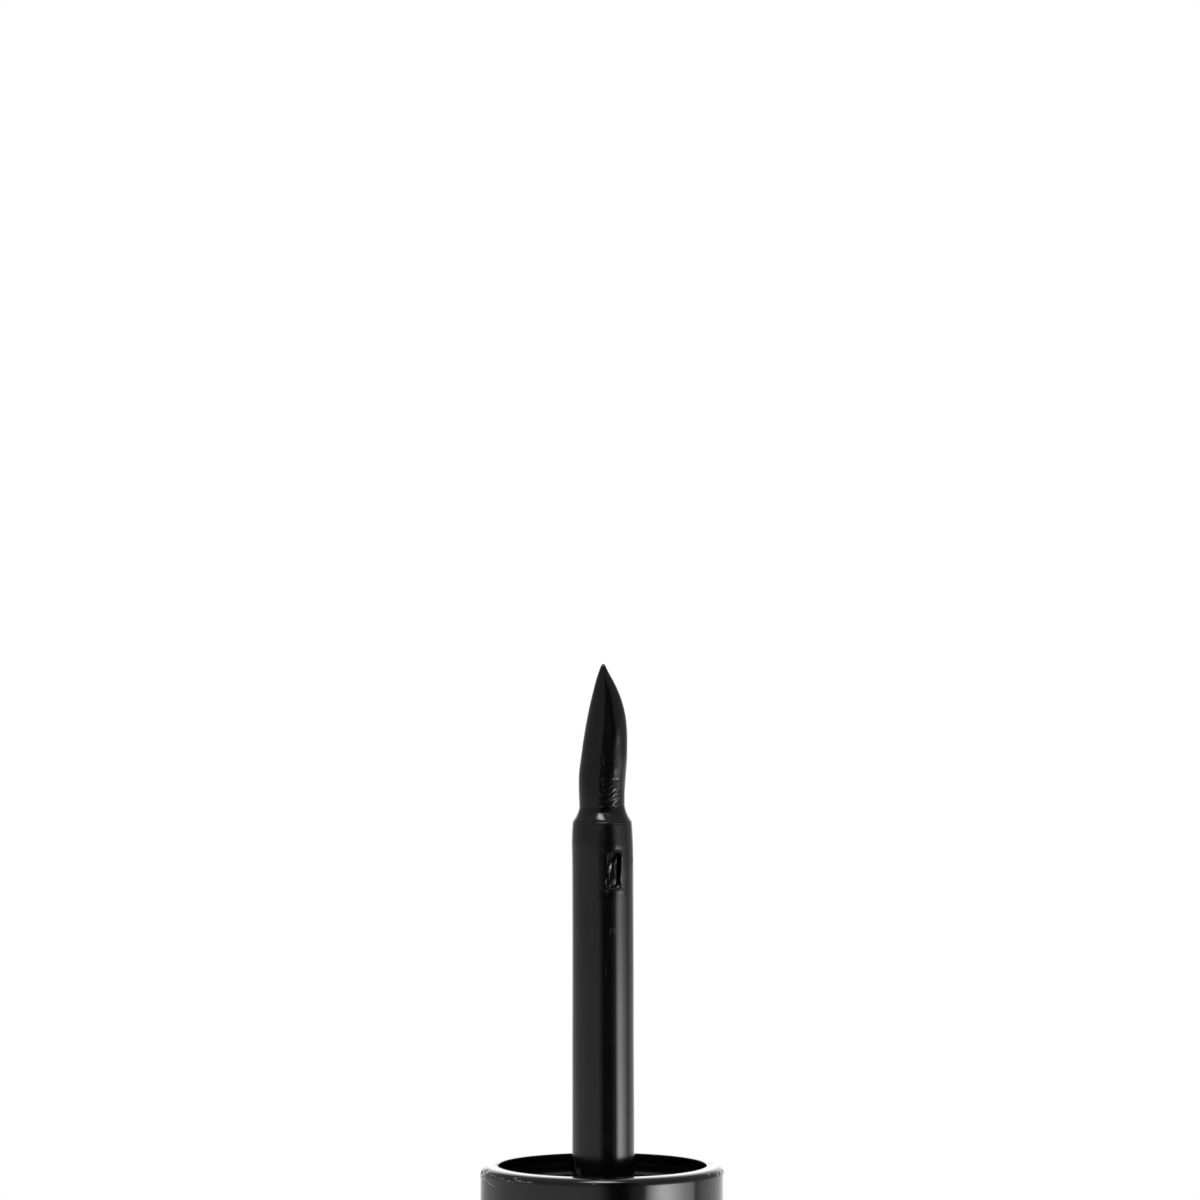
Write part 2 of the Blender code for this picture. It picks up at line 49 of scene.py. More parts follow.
wand_x = (shell_low.x + shell_high.x) / 2 / MM
rim = shell_high.z / MM
view_distance = 300.0
view_width = 67.8
view_rise = 35.1
aim_rise = 31.95
aim_aside = -0.136
clear_distance = 10.0


def added(name, data):
    """A new object of that data, in the scene."""
    made = bpy.data.objects.new(name, data)
    bpy.context.scene.collection.objects.link(made)
    return made


camera = added("camera", bpy.data.cameras.new("camera"))
bpy.context.scene.camera = camera
camera.data.sensor_width = 36.0
camera.data.lens = camera.data.sensor_width * view_distance / view_width
eye = Vector((wand_x + aim_aside, -view_distance, rim + view_rise))
aim = Vector((wand_x + aim_aside, 0, rim + aim_rise))
camera.location = eye * MM
camera.rotation_euler = (aim - eye).to_track_quat("-Z", "Y").to_euler()
camera.data.clip_start = clear_distance * MM
bpy.context.scene.view_settings.view_transform = "Standard"

# The light: a white studio. A strip light stands low on the right, a black flag to the left of it keeps
# the front of each black piece dark, and a small lamp hangs high in front. Angles are degrees: a turn of
# 0 faces the camera and 90 is to the right. Matt surfaces see an even dome and one soft lamp instead.
backdrop_level = 1.0
dome_level = 0.72
# Over the strip's top the wall is calm: a share of its level, up to a cap. Above the flag it is even
calm_share = 0.55
calm_cap = 0.42
calm_gain = 0.055
calm_top = (2, 14)
back_level = 1.9
back_turns = (135, 165)
# The wall's level at each turn. A colour ramp ends at 1, so it holds shares of wall_scale
wall_scale = 13.0
wall_lights = (
    (-180, 1.3), (-168, 0.6), (-150, 0.6), (-128, 0.85), (-100, 0.87), (-80, 0.95),
    (-52, 0.92), (-25, 0.88), (-6, 0.8), (1, 0.4), (8, 0.05), (18, 0.02),
    (24, 0.08), (28, 0.26), (36, 0.45), (40, 0.75), (44, 4.5), (48, 7.6),
    (52, 9.9), (57, 12.5), (65, 12.1), (74, 8.6), (84, 5.0), (95, 3.0),
    (98, 1.0), (101, 0.8), (106, 1.2), (113, 1.4), (150, 1.5), (166, 1.9),
    (180, 1.3),
)
strip_top = (-9.0, -1.9)
flag_top = (35, 55)
lamp_turns = (-40, -8, 4, 36)
lamp_heights = (44, 62, 68, 84)
lamp_level = 13.0
soft_size = 250.0
soft_place = (-250.0, -300.0, 350.0)
soft_power = 0.8


def node(tree, kind, links=None, **settings):
    """Adds a shader node. links names its inputs, and gives each a value or another node's output."""
    made = tree.nodes.new("ShaderNode" + kind)
    for name, value in settings.items():
        setattr(made, name, value)
    for name, value in (links or {}).items():
        if isinstance(value, bpy.types.NodeSocket):
            tree.links.new(value, made.inputs[name])
        else:
            made.inputs[name].default_value = value
    return made


def calc(tree, operation, first, second=0.0):
    """The result of a Math node."""
    return node(tree, "Math", {0: first, 1: second}, operation=operation).outputs[0]


def fade(tree, value, start, end, low=0.0, high=1.0):
    """Goes smoothly from low to high as the value goes from start to end."""
    links = {"Value": value, "From Min": start, "From Max": end, "To Min": low, "To Max": high}
    return node(tree, "MapRange", links, interpolation_type="SMOOTHSTEP").outputs["Result"]


def ramp(tree, value, stops):
    """A grey level that goes evenly from stop to stop. Each stop is a place and a level."""
    made = node(tree, "ValToRGB", {"Fac": value})
    elements = made.color_ramp.elements
    while len(elements) < len(stops):
        elements.new(0.5)
    for element, (place, level) in zip(elements, stops):
        element.position = place
        element.color = (level, level, level, 1)
    return made.outputs["Color"]


studio = bpy.data.worlds.new("studio")
bpy.context.scene.world = studio
studio.use_nodes = True
studio.cycles.sampling_method = "NONE"
tree = studio.node_tree
tree.nodes.clear()
facing = node(tree, "SeparateXYZ", {"Vector": node(tree, "TexCoord").outputs["Generated"]}).outputs
turn = calc(tree, "ARCTAN2", facing["X"], calc(tree, "MULTIPLY", facing["Y"], -1.0))
turn = calc(tree, "DEGREES", turn)
height = calc(tree, "DEGREES", calc(tree, "ARCSINE", facing["Z"]))
share = calc(tree, "DIVIDE", calc(tree, "ADD", turn, 180.0), 360.0)
wall = ramp(tree, share, [((t + 180) / 360, level / wall_scale) for t, level in wall_lights])
wall = calc(tree, "MULTIPLY", wall, wall_scale)
calm = calc(tree, "MULTIPLY", wall, fade(tree, height, *calm_top, calm_gain, 0.0))
calm = calc(tree, "MINIMUM", calc(tree, "MULTIPLY", wall, calm_share), calc(tree, "ADD", calm, calm_cap))
calm = node(tree, "Mix", {"Factor": fade(tree, height, *flag_top), 2: calm, 3: calm_share}).outputs[0]
behind = fade(tree, calc(tree, "ABSOLUTE", turn), *back_turns)
calm = node(tree, "Mix", {"Factor": behind, 2: calm, 3: back_level}).outputs[0]
above = fade(tree, height, *strip_top)
room = node(tree, "Mix", {"Factor": above, 2: wall, 3: calm}).outputs[0]
lamp = calc(tree, "MULTIPLY", fade(tree, turn, *lamp_turns[:2]), fade(tree, turn, *lamp_turns[:1:-1]))
lamp = calc(tree, "MULTIPLY", lamp, fade(tree, height, *lamp_heights[:2]))
lamp = calc(tree, "MULTIPLY", lamp, fade(tree, height, *lamp_heights[:1:-1]))
room = calc(tree, "ADD", room, calc(tree, "MULTIPLY", lamp, lamp_level))
ray = node(tree, "LightPath").outputs
level = node(tree, "Mix", {"Factor": ray["Is Diffuse Ray"], 2: room, 3: dome_level}).outputs[0]
level = node(tree, "Mix", {"Factor": ray["Is Camera Ray"], 2: level, 3: backdrop_level}).outputs[0]
sky = node(tree, "Background", {"Color": (1, 1, 1, 1), "Strength": level})
node(tree, "OutputWorld", {"Surface": sky.outputs[0]})

soft_lamp = added("soft_lamp", bpy.data.lights.new("soft_lamp", "AREA"))
soft_lamp.data.size = soft_size * MM
soft_lamp.data.energy = soft_power
soft_lamp.location = Vector(soft_place) * MM
soft_lamp.rotation_euler = (-soft_lamp.location).to_track_quat("-Z", "Y").to_euler()
soft_lamp.visible_glossy = False
soft_lamp.visible_camera = False

# The floor: a pale matt disc that takes the shadows, and turns into the white backdrop further out.
# It isn't part of the object.
floor_radius = 300.0
floor_sides = 128
floor_gap = 0.02
floor_fade = (80.0, 220.0)
floor_pale = (0.86, 0.86, 0.86, 1)


def meshed(name, bm):
    """A new object of a bmesh, in the scene. The bmesh is used up."""
    mesh = bpy.data.meshes.new(name)
    bm.to_mesh(mesh)
    bm.free()
    return added(name, mesh)


bm = bmesh.new()
bmesh.ops.create_circle(bm, cap_ends=True, segments=floor_sides, radius=floor_radius * MM)
bmesh.ops.translate(bm, verts=bm.verts, vec=(0, 0, -floor_gap * MM))
floor = meshed("floor", bm)
pale = bpy.data.materials.new("pale_floor")
pale.use_nodes = True
tree = pale.node_tree
tree.nodes.clear()
place = node(tree, "TexCoord").outputs["Object"]
away = node(tree, "VectorMath", {0: place}, operation="LENGTH").outputs["Value"]
ray = node(tree, "LightPath").outputs
seen = calc(tree, "MAXIMUM", ray["Is Camera Ray"], ray["Is Glossy Ray"])
seen = calc(tree, "MAXIMUM", seen, ray["Is Transmission Ray"])
white = calc(tree, "MULTIPLY", fade(tree, away, *(edge * MM for edge in floor_fade)), seen)
matt = node(tree, "BsdfDiffuse", {"Color": floor_pale})
glow = node(tree, "Emission", {"Color": (1, 1, 1, 1), "Strength": backdrop_level})
mixed = node(tree, "MixShader", {0: white, 1: matt.outputs[0], 2: glow.outputs[0]})
node(tree, "OutputMaterial", {"Surface": mixed.outputs[0]})
floor.data.materials.append(pale)

# The cap's outer shell: a deep cup moulded in gloss black plastic, standing on its closed end. Six ribs
# inside drive the threaded inner cap. Its lip is rounded, and knocked and scuffed where it is handled.
shell_radius = (shell_high.x - shell_low.x) / 2 / MM
shell_wall = 1.0
mouth_radius = shell_radius - shell_wall
shell_end = 1.6
shell_foot_rounding = 0.9
shell_sides = 960
merge_gap = 0.0005
lip_rounding = 0.38
lip_band = 1.4
lip_depth = 1.5
mouth_skin = 0.002
# The lip's mesh is finer: each row is a reach below the rim, the shortest edge cut there, and its cuts
lip_mesh = ((lip_depth, 0.9, 18), (0.01, 0.4, 10))
rib_count = 6
rib_columns = 16
rib_depth = 0.5
rib_heights = (2.4, 40.0)
gate_radius = 0.9
gate_depth = 0.12
plastic_black = (0.0014, 0.0014, 0.0015)
plastic_worn = (0.34, 0.335, 0.325)
# Each knock is a turn from the front in degrees, a depth below the rim, its width, height and depth
knocks = (
    (-80, 0.30, 0.42, 0.20, 0.06),
    (-73, 0.10, 0.28, 0.14, 0.05),
    (-84, 0.62, 0.30, 0.12, 0.03),
    (-44, 0.20, 0.36, 0.07, 0.02),
    (-4, 0.27, 0.10, 0.06, 0.03),
    (7, 0.33, 0.07, 0.05, 0.03),
    (62, 0.12, 0.25, 0.08, 0.02),
    (72, 0.30, 0.30, 0.12, 0.04),
    (81, 0.20, 0.25, 0.10, 0.05),
    (118, 0.25, 0.40, 0.12, 0.04),
    (-140, 0.30, 0.50, 0.15, 0.05),
    (168, 0.15, 0.25, 0.10, 0.03),
)
# Each cut runs from a turn and a depth below the rim to another, and has a half width and a depth
cuts = (
    (-79, 0.50, -61, 0.90, 0.045, 0.016),
    (-79, 0.58, -76.5, 0.95, 0.035, 0.010),
    (-76.5, 0.95, -73, 0.74, 0.035, 0.010),
    (-86, 0.62, -76, 0.16, 0.06, 0.025),
    (-83, 0.26, -78, 0.50, 0.05, 0.020),
    (-78, 0.18, -58, 0.28, 0.035, 0.010),
    (-58, 0.28, -46, 0.42, 0.035, 0.008),
    (-45, 0.29, -35, 0.31, 0.045, 0.014),
    (68, 0.20, 79, 0.34, 0.045, 0.015),
    (74, 0.45, 84, 0.25, 0.045, 0.015),
    (77, 0.12, 86, 0.50, 0.045, 0.015),
    (104, 0.10, 125, 0.60, 0.05, 0.015),
    (-150, 0.20, -128, 0.42, 0.05, 0.015),
    (158, 0.34, 181, 0.26, 0.05, 0.012),
)
cut_wear = 0.8
# A burr stands beside each cut: its share of the depth, its place and its steepness, in half widths
burr = (0.3, 1.2, 5.0)
burr_end = 1.6
# Each chip in the mouth's edge is a turn, its distance from that edge, its size and its depth
chips = (
    (-86, 0.02, 0.16, 0.06),
    (-81, 0.00, 0.13, 0.06),
    (-90, 0.12, 0.10, 0.04),
    (-77, 0.03, 0.10, 0.04),
    (-94, 0.03, 0.12, 0.05),
    (-72, 0.01, 0.08, 0.03),
    (84, 0.02, 0.10, 0.03),
    (96, 0.20, 0.12, 0.03),
    (150, 0.02, 0.12, 0.04),
)


def drawn(*corners, arc=6):
    """A bmesh of an outline from (radius, height, rounding) corners, each rounding bevelled to an arc."""
    bm = bmesh.new()
    points = [bm.verts.new((radius, 0, height)) for radius, height, _ in corners]
    for pair in zip(points, points[1:]):
        bm.edges.new(pair)
    for point, (_, _, rounding) in zip(points, corners):
        if rounding:
            bmesh.ops.bevel(
                bm,
                geom=[point],
                offset=rounding,
                segments=arc,
                profile=0.5,
                affect="VERTICES",
                material=-1,
            )
    return bm


def turned(bm, sides):
    """Spins an outline through an eighth of a turn, then that eighth round the upright axis seven times."""
    eighth = math.pi / 4
    axis = {"cent": (0, 0, 0), "axis": (0, 0, 1)}
    bmesh.ops.spin(bm, geom=bm.verts[:] + bm.edges[:], angle=eighth, steps=sides // 8, **axis)
    part = bm.verts[:] + bm.edges[:] + bm.faces[:]
    bmesh.ops.spin(bm, geom=part, angle=7 * eighth, steps=7, use_duplicate=True, **axis)
    bmesh.ops.remove_doubles(bm, verts=bm.verts, dist=merge_gap)
    return bm


def on_axis(name, bm, x, finish, crease=35):
    """Makes a piece of a bmesh drawn in millimetres about the upright axis, and stands it at x."""
    bmesh.ops.recalc_face_normals(bm, faces=bm.faces)
    bmesh.ops.translate(bm, vec=(x, 0, 0), verts=bm.verts)
    bmesh.ops.scale(bm, vec=(MM, MM, MM), verts=bm.verts)
    piece = meshed(name, bm)
    piece.data.shade_smooth()
    piece.data.set_sharp_from_angle(angle=math.radians(crease))
    piece.data.materials.append(finish)
    return piece


def front_turn(point):
    """How far round the upright axis a point lies, in degrees from the front towards the right."""
    return math.degrees(math.atan2(point.x, -point.y))


def finish_start(name, **constants):
    """A new Principled material: it, its node tree, its shader, and the piece's own millimetres."""
    material = bpy.data.materials.new(name)
    material.use_nodes = True
    tree = material.node_tree
    shader = tree.nodes["Principled BSDF"]
    for socket, value in constants.items():
        shader.inputs[socket.replace("_", " ")].default_value = value
    place = node(tree, "TexCoord").outputs["Object"]
    place = node(tree, "Mapping", {"Vector": place, "Scale": (1 / MM, 1 / MM, 1 / MM)})
    return material, tree, shader, place.outputs["Vector"]


def grain(tree, place, scale, detail=2.0, roughness=0.5, stretch=None, distortion=0.0):
    """A Noise Texture's value, on coordinates that may be stretched first."""
    if stretch:
        place = node(tree, "Mapping", {"Vector": place, "Scale": stretch}).outputs["Vector"]
    links = {"Vector": place, "Scale": scale, "Detail": detail, "Roughness": roughness}
    links["Distortion"] = distortion
    return node(tree, "TexNoise", links).outputs["Fac"]


def mixed_colour(tree, factor, first, second):
    """Blends two colours or nodes' outputs. The second may be a number: that many times the first."""
    if isinstance(second, float):
        second = tuple(second * c for c in first)
    links = {"Factor": factor}
    for socket, value in ((6, first), (7, second)):
        links[socket] = (*value, 1) if isinstance(value, tuple) else value
    return node(tree, "Mix", links, data_type="RGBA").outputs[2]


def bumped(tree, shader, height, depth):
    """Adds relief of that depth in millimetres to a shader, on top of what it has."""
    links = {"Height": height, "Distance": depth * MM, "Strength": 1.0}
    if shader.inputs["Normal"].links:
        links["Normal"] = shader.inputs["Normal"].links[0].from_socket
    tree.links.new(node(tree, "Bump", links).outputs["Normal"], shader.inputs["Normal"])


def finished(tree, shader, colour, rough):
    """Links a shader's colour and roughness."""
    tree.links.new(colour, shader.inputs["Base Color"])
    tree.links.new(rough, shader.inputs["Roughness"])


def hairlines(tree, place, scale, stretch, width):
    """Thin stray scratches: where a stretched grain passes its middle value, in patches."""
    lines = grain(tree, place, scale, detail=1.0, roughness=0.4, stretch=stretch)
    lines = calc(tree, "ABSOLUTE", calc(tree, "SUBTRACT", lines, 0.5))
    lines = fade(tree, lines, width, 0.0)
    patches = fade(tree, grain(tree, place, scale * 0.9), 0.58, 0.66)
    return calc(tree, "MULTIPLY", lines, patches)


def gloss_black(name):
    """Gloss black moulded plastic: faint smears, dust and hairlines, and pale scuffs where it is worn."""
    material, tree, shader, place = finish_start(name, IOR=1.45)
    smears = grain(tree, place, 0.22, detail=4.0, roughness=0.62, distortion=0.6)
    dust = fade(tree, grain(tree, place, 7.0, roughness=0.6), 0.70, 0.76)
    scratches = hairlines(tree, place, 0.35, stretch=(1.0, 1.0, 0.18), width=0.006)
    marks = calc(tree, "MAXIMUM", calc(tree, "MULTIPLY", dust, 0.35), scratches)
    wear = node(tree, "Attribute", attribute_name="wear").outputs["Fac"]
    crumbs = fade(tree, grain(tree, place, 5.0, detail=3.0, roughness=0.65, distortion=0.8), 0.48, 0.58)
    scuffs = calc(tree, "MULTIPLY", wear, crumbs)
    black = mixed_colour(tree, smears, plastic_black, 1.5)
    black = mixed_colour(tree, calc(tree, "MULTIPLY", marks, 0.05), black, plastic_worn)
    black = mixed_colour(tree, scuffs, black, plastic_worn)
    rough = fade(tree, smears, 0.35, 0.7, 0.05, 0.09)
    rough = calc(tree, "ADD", rough, calc(tree, "MULTIPLY", marks, 0.15))
    finished(tree, shader, black, calc(tree, "ADD", rough, calc(tree, "MULTIPLY", scuffs, 0.4)))
    bumped(tree, shader, grain(tree, place, 0.5), 0.004)
    bumped(tree, shader, scuffs, -0.006)
    return material


def held(value):
    """The value, but never under 0 or over 1."""
    return max(0, min(1, value))


def off_line(spot, start, end):
    """How far a spot on a flat sheet lies from the line between two others, and how far along it."""
    line = end - start
    part = held((spot - start).dot(line) / line.length_squared)
    return (spot - start - line * part).length, part


def turn_past(at, turn):
    """How many degrees a turn lies to the right of another, or less than none to its left."""
    return (turn - at + 180) % 360 - 180


def knocked(bm, top, radius, mouth):
    """Presses the knocks, cuts and chips into the lip. The attribute wear notes how worn each spot is."""
    wear = bm.verts.layers.float.new("wear")
    arc = math.radians(radius)
    for v in bm.verts:
        across = v.co.xy.length
        if v.co.z < top - lip_depth or across < mouth + mouth_skin:
            continue
        turn = front_turn(v.co)
        drop = top - v.co.z
        pushed = 0
        for at, below, width, tall, depth in knocks:
            aside = turn_past(at, turn)
            reach = Vector((aside * arc / width, (below - drop) / tall)).length
            if reach < 1:
                share = (1 - reach * reach) ** 2
                pushed += depth * share
                v[wear] = max(v[wear], share)
        for at, below, to, lower, width, depth in cuts:
            aside = turn_past(at, turn)
            line = Vector(((to - at) * arc, lower - below))
            reach = off_line(Vector((aside * arc, drop - below)), Vector((0, 0)), line)[0] / width
            if reach < burr_end:
                raised = burr[0] * math.exp(-(((reach - burr[1]) * burr[2]) ** 2))
                pushed += depth * (max(0, 1 - reach * reach) - raised)
                v[wear] = max(v[wear], cut_wear * max(0, 1 - reach))
        for at, out, size, depth in chips:
            aside = turn_past(at, turn)
            reach = Vector((aside * arc, across - mouth - out)).length / size
            if reach < 1:
                share = (1 - reach * reach) ** 2
                v.co.z -= depth * share
                v[wear] = max(v[wear], share)
        v.co.xy *= 1 - pushed / across


outline = drawn(
    (0, gate_depth, 0),
    (gate_radius, gate_depth, 0.05),
    (gate_radius, 0, 0.03),
    (shell_radius, 0, shell_foot_rounding),
    (shell_radius, rim - lip_band, 0),
    (shell_radius, rim, lip_rounding),
    (mouth_radius, rim, 0.05),
    (mouth_radius, rib_heights[1], 0),
    (mouth_radius, rib_heights[0], 0),
    (mouth_radius, shell_end, 0.5),
    (0, shell_end, 0),
    arc=9,
)
for depth, length, rows in lip_mesh:
    near = [e for e in outline.edges if min(v.co.z for v in e.verts) > rim - depth]
    bmesh.ops.subdivide_edges(outline, edges=[e for e in near if e.calc_length() > length], cuts=rows)
bm = turned(outline, shell_sides)
column = 360 / shell_sides
ribbed = [[] for _ in range(rib_count)]
for face in bm.faces:
    middle = face.calc_center_median()
    inside = middle.xy.length < (shell_radius + mouth_radius) / 2
    if inside and rib_heights[0] < middle.z < rib_heights[1]:
        part, aside = divmod(front_turn(middle) - 90 + 180 / rib_count, 360 / rib_count)
        if abs(aside - 180 / rib_count) < rib_columns / 2 * column:
            ribbed[int(part) % rib_count].append(face)
for faces in ribbed:
    raised = bmesh.ops.extrude_face_region(bm, geom=faces)["geom"]
    bmesh.ops.delete(bm, geom=faces, context="FACES_ONLY")
    for v in (g for g in raised if isinstance(g, bmesh.types.BMVert)):
        v.co.xy *= 1 - rib_depth / v.co.xy.length
knocked(bm, rim, shell_radius, mouth_radius)
shell = on_axis("cap_shell_gloss", bm, wand_x, gloss_black("cap_gloss_black"))
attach(shell, "applicator")
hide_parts("cap_shell")

# The inner cap: a satin black liner pressed into the shell, notched for its ribs. The thread inside fits
# the bottle's neck, and the wand's plug is pressed into the socket under its floor.
liner_low, liner_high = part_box("inner_cap")
liner_radius = (liner_high.x - liner_low.x) / 2 / MM
liner_top = liner_high.z / MM
liner_bottom = liner_low.z / MM
liner_wall = 0.7
liner_bore = liner_radius - liner_wall
liner_floor = (38.9, 40.5)
stem_hole = 1.8
socket_radii = (2.7, 3.5)
liner_sides = 240
notch_size = (1.0, 0.5, 1.2)
thread_pitch = 2.0
thread_depth = 0.45
thread_foot = 0.2
thread_widths = (1.1, 0.5)
thread_rounding = 0.1
thread_fade = 0.12
thread_lowest = 0.25
liner_black = (0.003, 0.003, 0.003)
liner_thread_start = 43.45
liner_thread_turns = 1.5


def closed(outline):
    """Joins the two ends of an outline."""
    outline.edges.new([v for v in outline.verts if len(v.link_edges) == 1])
    return outline


def unseen(bm):
    """An object of a bmesh for a modifier to work on. It is never shown."""
    bmesh.ops.recalc_face_normals(bm, faces=bm.faces)
    return meshed("unseen", bm)


def solved(carrier, *tools):
    """The bmesh that an unseen object's modifier gives. The object goes, and its tools with it."""
    bpy.context.view_layer.update()
    result = bmesh.new()
    result.from_object(carrier, bpy.context.evaluated_depsgraph_get())
    for used in (carrier, *tools):
        mesh = used.data
        bpy.data.objects.remove(used)
        bpy.data.meshes.remove(mesh)
    return result


def combined(bm, other, operation):
    """A bmesh joined with another, or with it cut away."""
    base, tool = unseen(bm), unseen(other)
    boolean = base.modifiers.new("combined", "BOOLEAN")
    boolean.operation = operation
    boolean.object = tool
    return solved(base, tool)


def thread(wall, crest, start, turns, sides):
    """A helical ridge on a wall: its rounded section is spun round and up, then faded at both ends."""
    outward = 1 if crest > wall else -1
    foot = wall - outward * thread_foot
    wide, narrow = (w / 2 for w in thread_widths)
    section = drawn(
        (foot, start - wide, 0),
        (crest, start - narrow, thread_rounding),
        (crest, start + narrow, thread_rounding),
        (foot, start + wide, 0),
        arc=3,
    )
    bm = closed(section)
    bmesh.ops.spin(
        bm,
        geom=bm.verts[:] + bm.edges[:],
        cent=(0, 0, 0),
        axis=(0, 0, 1),
        dvec=(0, 0, thread_pitch / sides),
        angle=2 * math.pi * turns,
        steps=round(turns * sides),
        use_merge=False,
    )
    bmesh.ops.holes_fill(bm, edges=[e for e in bm.edges if e.is_boundary], sides=0)
    for v in bm.verts:
        part = (math.atan2(v.co.y, v.co.x) / (2 * math.pi)) % 1
        turn = round((v.co.z - start) / thread_pitch - part) + part
        share = held(min(turn, turns - turn) / thread_fade)
        share = share * share * (3 - 2 * share)
        radius = v.co.xy.length
        lowered = foot + (radius - foot) * (thread_lowest + (1 - thread_lowest) * share)
        v.co.xy *= lowered / radius
    return bm


def satin_black(name, colour, rough, relief, index=1.45):
    """Satin black moulded plastic: an even spark-eroded grain, a few rubbed hairlines and some dust."""
    material, tree, shader, place = finish_start(name, IOR=index)
    patches = grain(tree, place, 0.3, detail=3.0, roughness=0.6)
    dust = fade(tree, grain(tree, place, 9.0, roughness=0.6), 0.70, 0.78)
    scratches = hairlines(tree, place, 0.6, stretch=(1.0, 1.0, 0.2), width=0.008)
    marks = calc(tree, "MAXIMUM", calc(tree, "MULTIPLY", dust, 0.5), scratches)
    black = mixed_colour(tree, patches, colour, 1.6)
    black = mixed_colour(tree, calc(tree, "MULTIPLY", marks, 0.06), black, plastic_worn)
    spread = fade(tree, patches, 0.3, 0.7, rough - 0.02, rough + 0.03)
    finished(tree, shader, black, calc(tree, "ADD", spread, calc(tree, "MULTIPLY", marks, 0.2)))
    bumped(tree, shader, grain(tree, place, 11.0, detail=3.0, roughness=0.6), relief)
    return material


outline = drawn(
    (liner_radius, liner_floor[0], 0.1),
    (liner_radius, liner_top, 0.08),
    (liner_bore, liner_top, 0.12),
    (liner_bore, liner_floor[1], 0.3),
    (stem_hole, liner_floor[1], 0.1),
    (stem_hole, liner_floor[0], 0),
    (socket_radii[0], liner_floor[0], 0),
    (socket_radii[0], liner_bottom, 0.1),
    (socket_radii[1], liner_bottom, 0.2),
    (socket_radii[1], liner_floor[0], 0.3),
    arc=4,
)
bm = turned(closed(outline), liner_sides)
ridge = thread(liner_bore, liner_bore - thread_depth, liner_thread_start, liner_thread_turns, liner_sides)
bm = combined(bm, ridge, "UNION")
notches = bmesh.new()
for i in range(rib_count):
    block = bmesh.ops.create_cube(notches, size=1)["verts"]
    bmesh.ops.scale(notches, verts=block, vec=(2 * notch_size[1], notch_size[0], 2 * notch_size[2]))
    bmesh.ops.translate(notches, verts=block, vec=(liner_radius, 0, liner_floor[0]))
    spin = Matrix.Rotation(2 * math.pi * i / rib_count, 3, "Z")
    bmesh.ops.rotate(notches, verts=block, cent=(0, 0, 0), matrix=spin)
bm = combined(bm, notches, "DIFFERENCE")
satin = satin_black("liner_black", liner_black, 0.32, 0.004)
liner = on_axis("inner_cap_threaded", bm, wand_x, satin)
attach(liner, "applicator")
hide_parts("inner_cap")

# The wand: a satin black moulding, solid below and bored at its end for the felt's holder. A window with
# a softly raised edge is moulded through its side. Its thick root is pressed into the inner cap.
stem_low, stem_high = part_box("stem")
stem_top = stem_high.z / MM
stem_bottom = stem_low.z / MM
plug_radius = (stem_high.x - stem_low.x) / 2 / MM
plug_chamfer = 0.4
# Pieces that are pressed or seated on each other keep this gap
press_gap = 0.1
plug_top = liner_floor[0] - press_gap
wand_radius = 1.77
wand_taper = (53.0, 60.5)
wand_ends = (1.715, 1.695, 1.62)
end_drops = (0.25, 0.04)
bore_radius = 1.34
bore_skin = 0.2
bore_bottom = stem_top - 7.5
stem_sides = 384
stem_black = (0.0016, 0.0016, 0.0016)
window_turn = 24.6
window_half = (0.42, 1.0)
window_foot = 0.80
window_lean = 0.13
window_centre = stem_top - 2.7
window_rounding = 0.22
window_rows = 33
window_columns = 34
window_room = (-1.7, 1.6)
window_reach = 1.46
room_slack = 0.01
long_edge = 1.0
wall_at_window = 1.755
window_arch = (0.03, 0.12)
window_blend = 0.45
# The wand's front is a little flat: at this turn, over this half width in degrees, and this deep
flat_turn = 7.0
flat_spread = 12.0
flat_depth = 0.05
flat_fade = (0.1, 0.5)
round_end = (1.8, 1.2)
wave_depth = 0.006
wave_scale = Vector((0.8, 0.8, 0.35))
# Each loop round the window: how far outside its edge, and how far below the wand's surface it lies
# beside the window, above it and under it
edge_loops = (
    (0.43, 0.0, 0.0, 0.0),
    (0.34, 0.0, 0.0, 0.0),
    (0.25, 0.0, 0.0, 0.0),
    (0.18, 0.0, 0.0, 0.0),
    (0.13, 0.0, -0.004, 0.002),
    (0.10, 0.0, -0.017, 0.008),
    (0.07, 0.0, -0.033, 0.022),
    (0.045, 0.0, -0.045, 0.040),
    (0.025, 0.0, -0.046, 0.056),
    (0.01, 0.0, -0.032, 0.072),
    (0.0, 0.0, 0.01, 0.09),
    (0.0, 0.2, 0.2, 0.2),
    (0.0, 0.415, 0.415, 0.415),
)
bore_loops = ((0.12, 0, 0, 0), (0, 0, 0, 0))
loop_share = 0.4
# The wand isn't quite straight: each row is a height from its end, and how far it lies to the right
wand_leans = (
    (-18.0, 0.062),
    (-13.4, 0.045),
    (-8.9, 0.042),
    (-4.4, 0.028),
    (-2.5, 0.020),
    (-1.6, 0.010),
    (-0.9, -0.006),
    (0, -0.009),
)
# Each swell of the wand's surface is a turn, a height from the window's middle, its half sizes and height
wand_swells = (
    (18, 1.42, 22, 0.28, 0.008),
    (9, 1.14, 7, 0.12, 0.012),
    (8, -1.22, 11, 0.16, -0.022),
    (37, -1.10, 5, 0.10, 0.004),
    (50, 0.2, 9, 0.8, 0.012),
    (75, 0.55, 8, 0.25, 0.015),
)

